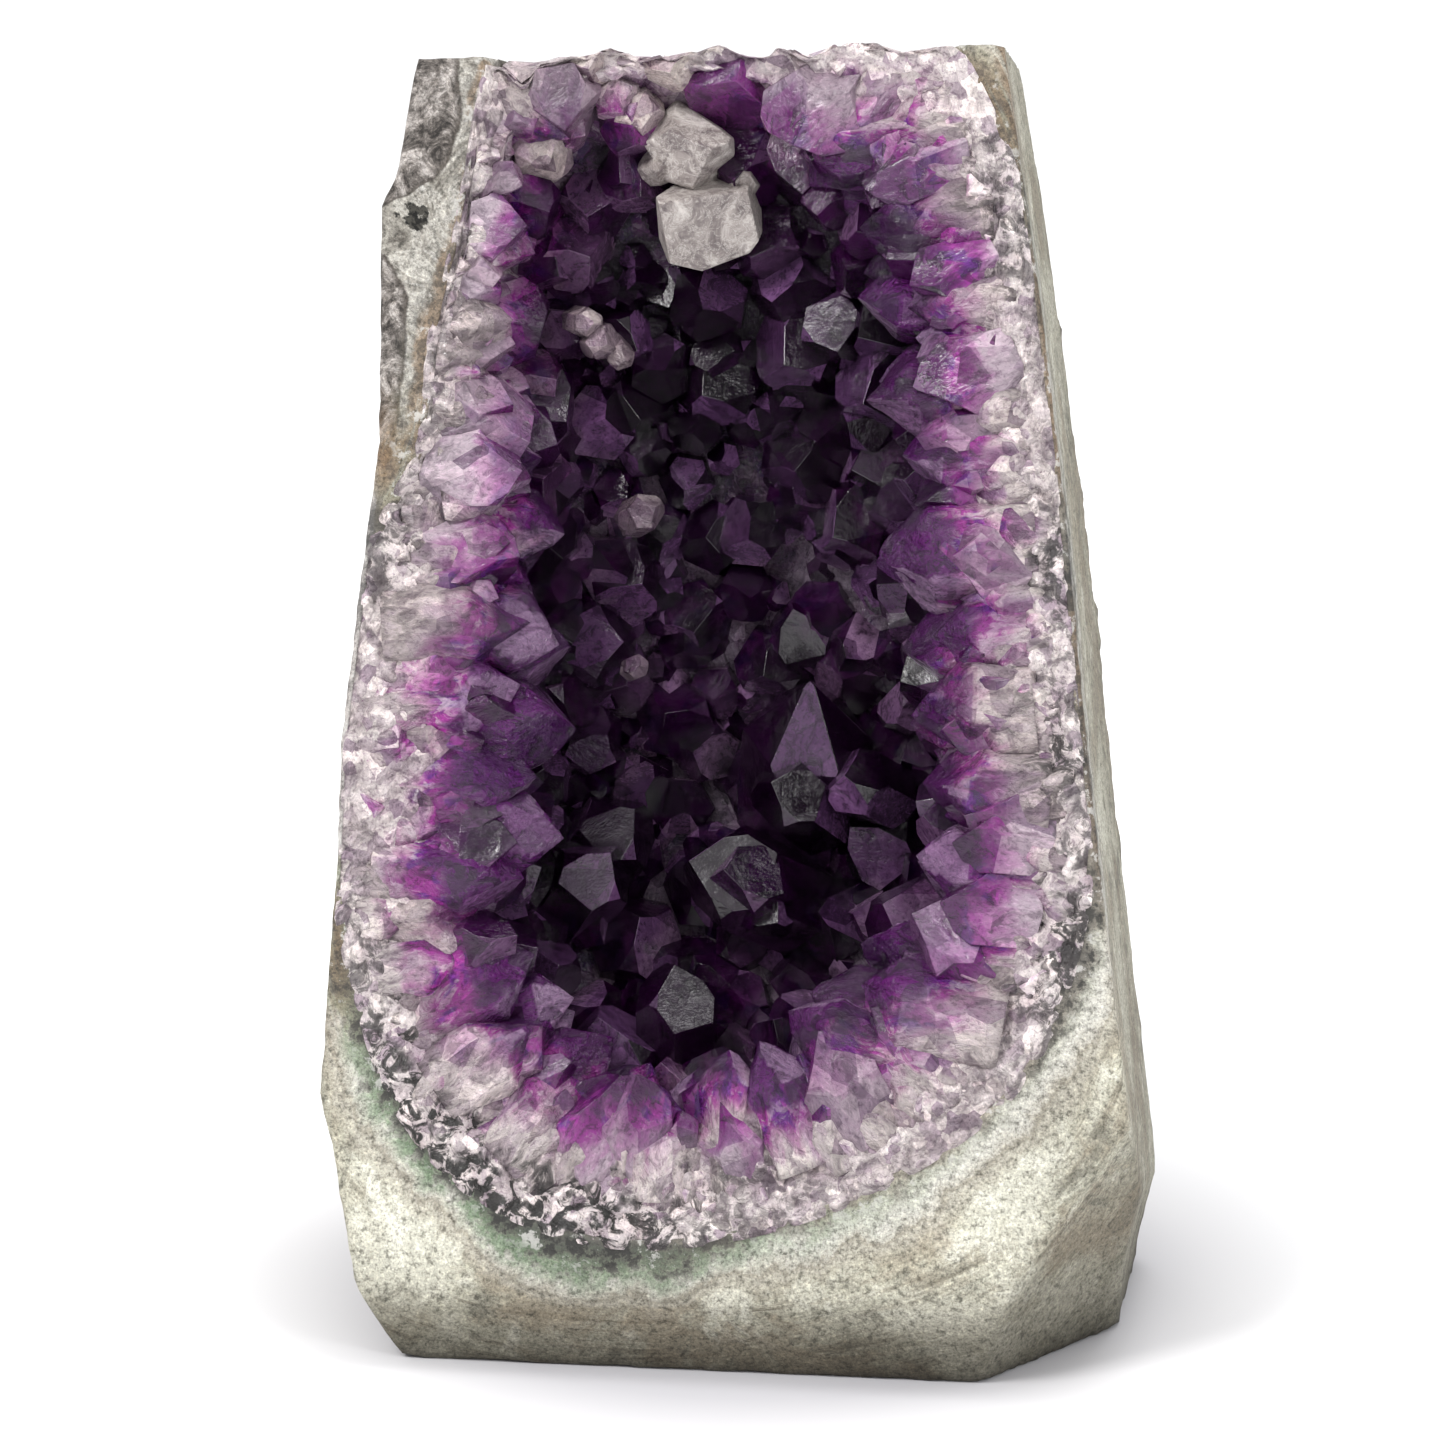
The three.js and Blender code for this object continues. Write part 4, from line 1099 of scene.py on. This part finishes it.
def inner_crystals(spacing, tries, taken, first, half_low, half_more, tall, apart):
    """Places on the bowl of roots at random, kept when no nearer to another than the spacing."""
    grown, roots = [], []
    tips = np.array([tip for tip, *_ in taken])
    for place in range(first, first + tries):
        angle = 2 * math.pi * chance(place, 1)
        reach = math.sin(math.pi / 2 * math.sqrt(chance(place, 2)) * 0.97)
        root = bowl_place(ROOT_CURVE, ROOT_DEPTH, np.array(angle), np.array(reach))
        if np.linalg.norm(tips - root, axis=1).min() < apart:
            continue
        if roots and np.linalg.norm(np.array(roots) - root, axis=1).min() < spacing:
            continue
        way = growth_way(angle, reach)
        way[0] += 0.4 * (chance(place, 3) - 0.5)
        way[1] += 0.4 * (chance(place, 4) - 0.5)
        way = unit(way)
        half = half_low + half_more * chance(place, 5) ** 2
        height = half * POINT_STEEPNESS + tall * chance(place, 6)
        roots.append(root)
        turn = 120 * chance(place, 7)
        grown.append((tuple(root + way * height), tuple(way), half, height + ROOT_BURY, turn))
    return grown


VIOLET_COLOURS = ((0.5, 0.42, 0.49), (0.36, 0.17, 0.34), (0.24, 0.025, 0.23), (0.09, 0.014, 0.18),
                  (0.06, 0.006, 0.07), (0.4, 0.28, 0.38))
INNER_COLOURS = ((0.2, 0.13, 0.2), (0.15, 0.045, 0.16), (0.11, 0.01, 0.115), (0.035, 0.007, 0.075),
                 (0.026, 0.003, 0.03), (0.34, 0.205, 0.36))
CREAM_CRYSTALS = (
    ((-30.8, 87, 1.5), (0.3, -0.35, -0.89), 4.6, 12, 12),
    ((-11.9, 101, -0.9), (0.1, -0.45, -0.89), 4.6, 14, 30),
    ((-24, 101.6, -0.9), (0.2, -0.4, -0.89), 4.2, 14, 8),
    ((-16.5, 93, 2.5), (0.2, -0.45, -0.87), 3.6, 12, 0),
    ((-21.6, 59.5, 10.5), (0.4, -0.1, -0.91), 2.7, 10, 10),
    ((-24, 62.4, 10), (0.5, -0.1, -0.86), 2.2, 9, 30),
    ((-19.4, 56.8, 11.5), (0.3, -0.3, -0.9), 2, 9, 50),
    ((-15.8, 8.4, 15), (0.3, 0.1, -0.95), 1.8, 8, 0),
    ((-14.3, 33.8, 16), (0.5, 0.2, -0.84), 2.8, 10, 20),
)
CREAM_COLOURS = ((0.52, 0.49, 0.45), (0.52, 0.47, 0.42), (0.44, 0.37, 0.34), (0.4, 0.3, 0.3),
                 (0.34, 0.24, 0.24), (0.62, 0.58, 0.55))
GEM_COLOURS = ((0.46, 0.2, 0.44), (0.38, 0.09, 0.36), (0.25, 0.018, 0.265), (0.12, 0.01, 0.22),
               (0.1, 0.006, 0.13), (0.52, 0.33, 0.51))
# Deeper tips get the darker inner colours: part deeper amethyst, part painted shade.
VIOLET_DEPTH = 13
violet_quartz = quartz_material("violet_amethyst", VIOLET_COLOURS, 0.3, 0.3, 180, 0.35, 0.35)
gem_quartz = quartz_material("gem_amethyst", GEM_COLOURS, 0.3, 0.3, 120, 0.2, 0.5)
inner_quartz = quartz_material("inner_amethyst", INNER_COLOURS, 0.25, 0.2, 140, 0.2, 0.4,
                               ((0.5, 0.15, 0.7), 120), coat=0.3)
inner_main = list(LARGE_CRYSTALS)
inner_main += inner_crystals(13.2, 2600, inner_main, 1, 5.4, 2.2, 5, 13.2)
inner_small = inner_crystals(8, 5000, inner_main, 20001, 4, 2.2, 5.5, 7)
inner_small += inner_crystals(6, 5000, inner_main + inner_small, 40001, 2.4, 1.4, 3.5, 5.6)


def tips_beyond(crystals, deep):
    """The crystals whose tips lie deeper than the violet ones do, or those that don't."""
    return [crystal for crystal in crystals if (crystal[0][2] >= VIOLET_DEPTH) == deep]


shallow = [crystal for crystal in tips_beyond(inner_main + inner_small, False) if is_clear(crystal)]
deep_main = [crystal for crystal in tips_beyond(inner_main, True) if crystal != TALL_CRYSTAL]
grow_points("violet_gem", [GEM_CRYSTAL], 17, gem_quartz, 1, 0.15, growth=0.6)
grow_points("tall_point", [TALL_CRYSTAL], 313, inner_quartz, 1, 0.1, uneven=0.2, satin_sheen=2)
cream_quartz = quartz_material("cream_quartz", CREAM_COLOURS, 0, 0.5, 300, 0.5, 0.4)
grow_points("cream_points", CREAM_CRYSTALS, 19, cream_quartz, 0.9, 0.1, growth=0.4)
grow_points("violet_points", shallow, 16, violet_quartz, 1, 0.09)
grow_points("inner_amethyst", deep_main, 13, inner_quartz, 1, 0.07)
grow_points("inner_small_points", tips_beyond(inner_small, True), 14, inner_quartz, 1)


# The calcite at the top of the hollow
# Cream calcite grew last, over the amethyst: a few leaning blocks with dull, slightly etched faces.

CALCITE_BLOCKS = (
    ((-9.6, 90.6, 8), (14, 9, 9), (14, 14, -24)),
    ((-14.5, 87.6, 9), (6.5, 6, 7), (30, 10, 35)),
    ((-6, 79.4, 12), (17.5, 9, 13), (8, -5, 14)),
    ((-1.6, 85.6, 12), (7, 5.5, 7), (10, 30, 25)),
)
CALCITE_ROWS = 76
CALCITE_COLUMNS = 124


def calcite_blocks():
    """Each block is a grid of directions from its middle. The radius is the smallest of the
    distances to its three pairs of leaning faces and to nine planes that cut its corners, blended
    so that edges are worn."""
    rise = np.linspace(-1, 1, CALCITE_ROWS + 2)[1:-1, None] * math.pi / 2
    turn = whole_turn(CALCITE_COLUMNS)
    way = join(np.cos(rise) * np.cos(turn), np.cos(rise) * np.sin(turn), np.sin(rise))
    dice = np.random.default_rng(5)
    blocks = []
    for centre, size, turns in CALCITE_BLOCKS:
        spin = np.eye(3)
        for axis, degrees in enumerate(turns):
            sine, cosine = math.sin(math.radians(degrees)), math.cos(math.radians(degrees))
            step = np.eye(3)
            one, other = (axis + 1) % 3, (axis + 2) % 3
            step[one, one] = step[other, other] = cosine
            step[one, other], step[other, one] = -sine, sine
            spin = spin @ step
        normals = unit(np.array([[1, 0.16, 0.1], [-0.12, 1, 0.14], [0.05, -0.16, 1]]))
        around = np.radians(dice.random(9) * 24 + np.arange(9) * 40)
        cuts = unit(join(np.cos(around), 0.35 * dice.normal(size=9), np.sin(around)))
        planes = np.concatenate([np.concatenate([normals, -normals]) @ spin.T, cuts])
        cut_reach = max(size[:2]) * (0.37 + 0.1 * dice.random(9))
        reach = np.concatenate([np.array(size) / 2] * 2 + [cut_reach])
        facing = way @ planes.T
        radii = np.where(facing > 0.1, reach / np.maximum(facing, 0.1), 1e3)
        rings = soft_least(radii, 0.03)[..., None] * way * MILLIMETRE + face_point(centre)
        block, sides = closed_rings(rings, rings[0].mean(axis=0), rings[-1].mean(axis=0))
        blocks.append(block)
    return np.array(blocks), repeated(sides, len(block), len(blocks))


def calcite_material():
    """Cream stone, slightly waxy, with cloudy patches, cleavage cracks and etched faces."""
    material, shader, place = new_material("cream_calcite")
    cloud = noise(place, 150, 8, 0.7, 1.4)
    vein = noise(place, 520, 6, 0.7, 1.2)
    colour = ramp(cloud, (0.36, 0.11, 0.088, 0.09), (0.45, 0.21, 0.18, 0.172),
                  (0.53, 0.3, 0.265, 0.25), (0.64, 0.5, 0.46, 0.435))
    flaw = times(mask(vein, 0.48, 0.5), mask(vein, 0.53, 0.51), 0.5)
    lined = mix(flaw, colour, (0.62, 0.59, 0.56))
    veined = mix(times(mask(vein, 0.45, 0.37), 0.45), lined, (0.1, 0.08, 0.085))
    feed(shader, {"Base Color": veined, "Roughness": remap(cloud, 0.35, 0.65, 0.45, 0.2),
                  "Normal": bump(vein, 0.5, 0.0005)})
    return material


calcite_points, calcite_faces = calcite_blocks()
make_piece("calcite_blocks", calcite_points, calcite_faces, calcite_material())


# The floor, the light and the camera
# A pale floor with a painted shadow round the stone's foot, that runs out of view, large soft
# lights above and in front, and a camera that looks a little down from the right of the middle.

CAMERA_AZIMUTH = math.radians(8)
CAMERA_ELEVATION = math.radians(15)
CAMERA_DISTANCE = 0.85
CAMERA_LENS = 134.9
FLOOR_HALF = 4


def pale_floor():
    """A flat square of matt, nearly white board, with a painted shadow close round the
    stone's foot.
    """
    material, shader, place = new_material("pale_board_painted_shadow")
    away = arrow("LENGTH", place)["Value"]
    # Painted shadow: the board darkens towards the middle, round the stone's foot.
    tone = ramp(scaled(noise(place, 3, 2, 0.5), 0.02, away),
                (0.065, 0.46, 0.455, 0.48), (0.085, 0.64, 0.635, 0.65),
                (0.115, 0.84, 0.84, 0.85), (0.16, 0.92, 0.92, 0.93))
    feed(shader, {"Base Color": tone, "Roughness": 0.9})
    corners = np.array([(-1, -1, 0), (1, -1, 0), (1, 1, 0), (-1, 1, 0)]) * FLOOR_HALF
    new_object("floor", corners, [(0, 1, 2, 3)], material)


def stand(name, data, at):
    """An object at a place, turned so that it looks at the middle of the stone's face."""
    thing = bpy.data.objects.new(name, data)
    bpy.context.scene.collection.objects.link(thing)
    x, y, z = FACE_ORIGIN * MILLIMETRE - np.array(at)
    thing.location = at
    thing.rotation_euler = (math.atan2(math.hypot(x, y), -z), 0, math.atan2(-x, y))
    return thing


def soft_light(name, at, size, power, colour):
    """A large square lamp that shines at the stone."""
    lamp = bpy.data.lights.new(name, "AREA")
    lamp.shape = "SQUARE"
    lamp.size = size
    lamp.energy = power
    lamp.color = colour
    stand(name, lamp, at)


pale_floor()
soft_light("key_light", (-0.55, -0.7, 1.1), 0.35, 13, (1, 0.99, 0.98))
soft_light("fill_light", (0.9, -0.8, 0.7), 0.3, 4, (1, 1, 1))
soft_light("top_light", (0.25, 0.1, 1.2), 0.5, 5, (1, 1, 1))

world = bpy.data.worlds.new("soft_room")
world.use_nodes = True
sky = world.node_tree
sky_way = node(sky, "TexCoord").outputs["Object"]
_, sky_y, sky_z = node(sky, "SeparateXYZ", {"Vector": sky_way}).outputs
seen = node(sky, "LightPath").outputs["Is Camera Ray"]
backdrop = calculate("MAXIMUM", mask(sky_y, 0.25, 0.7), seen)
brightness = calculate("MAXIMUM", remap(sky_z, 0, 0.45, 0.22, 1.1), backdrop)
feed(sky.nodes["Background"], {"Strength": brightness, "Color": (1, 1, 1)})
bpy.context.scene.world = world

level = math.cos(CAMERA_ELEVATION)
back = join(math.sin(CAMERA_AZIMUTH) * level, -math.cos(CAMERA_AZIMUTH) * level,
            math.sin(CAMERA_ELEVATION))
lens = bpy.data.cameras.new("camera")
lens.lens = CAMERA_LENS
lens.sensor_width = 36
scene = bpy.context.scene
scene.camera = stand("camera", lens, FACE_ORIGIN * MILLIMETRE + back * CAMERA_DISTANCE)
scene.view_settings.view_transform = "Standard"
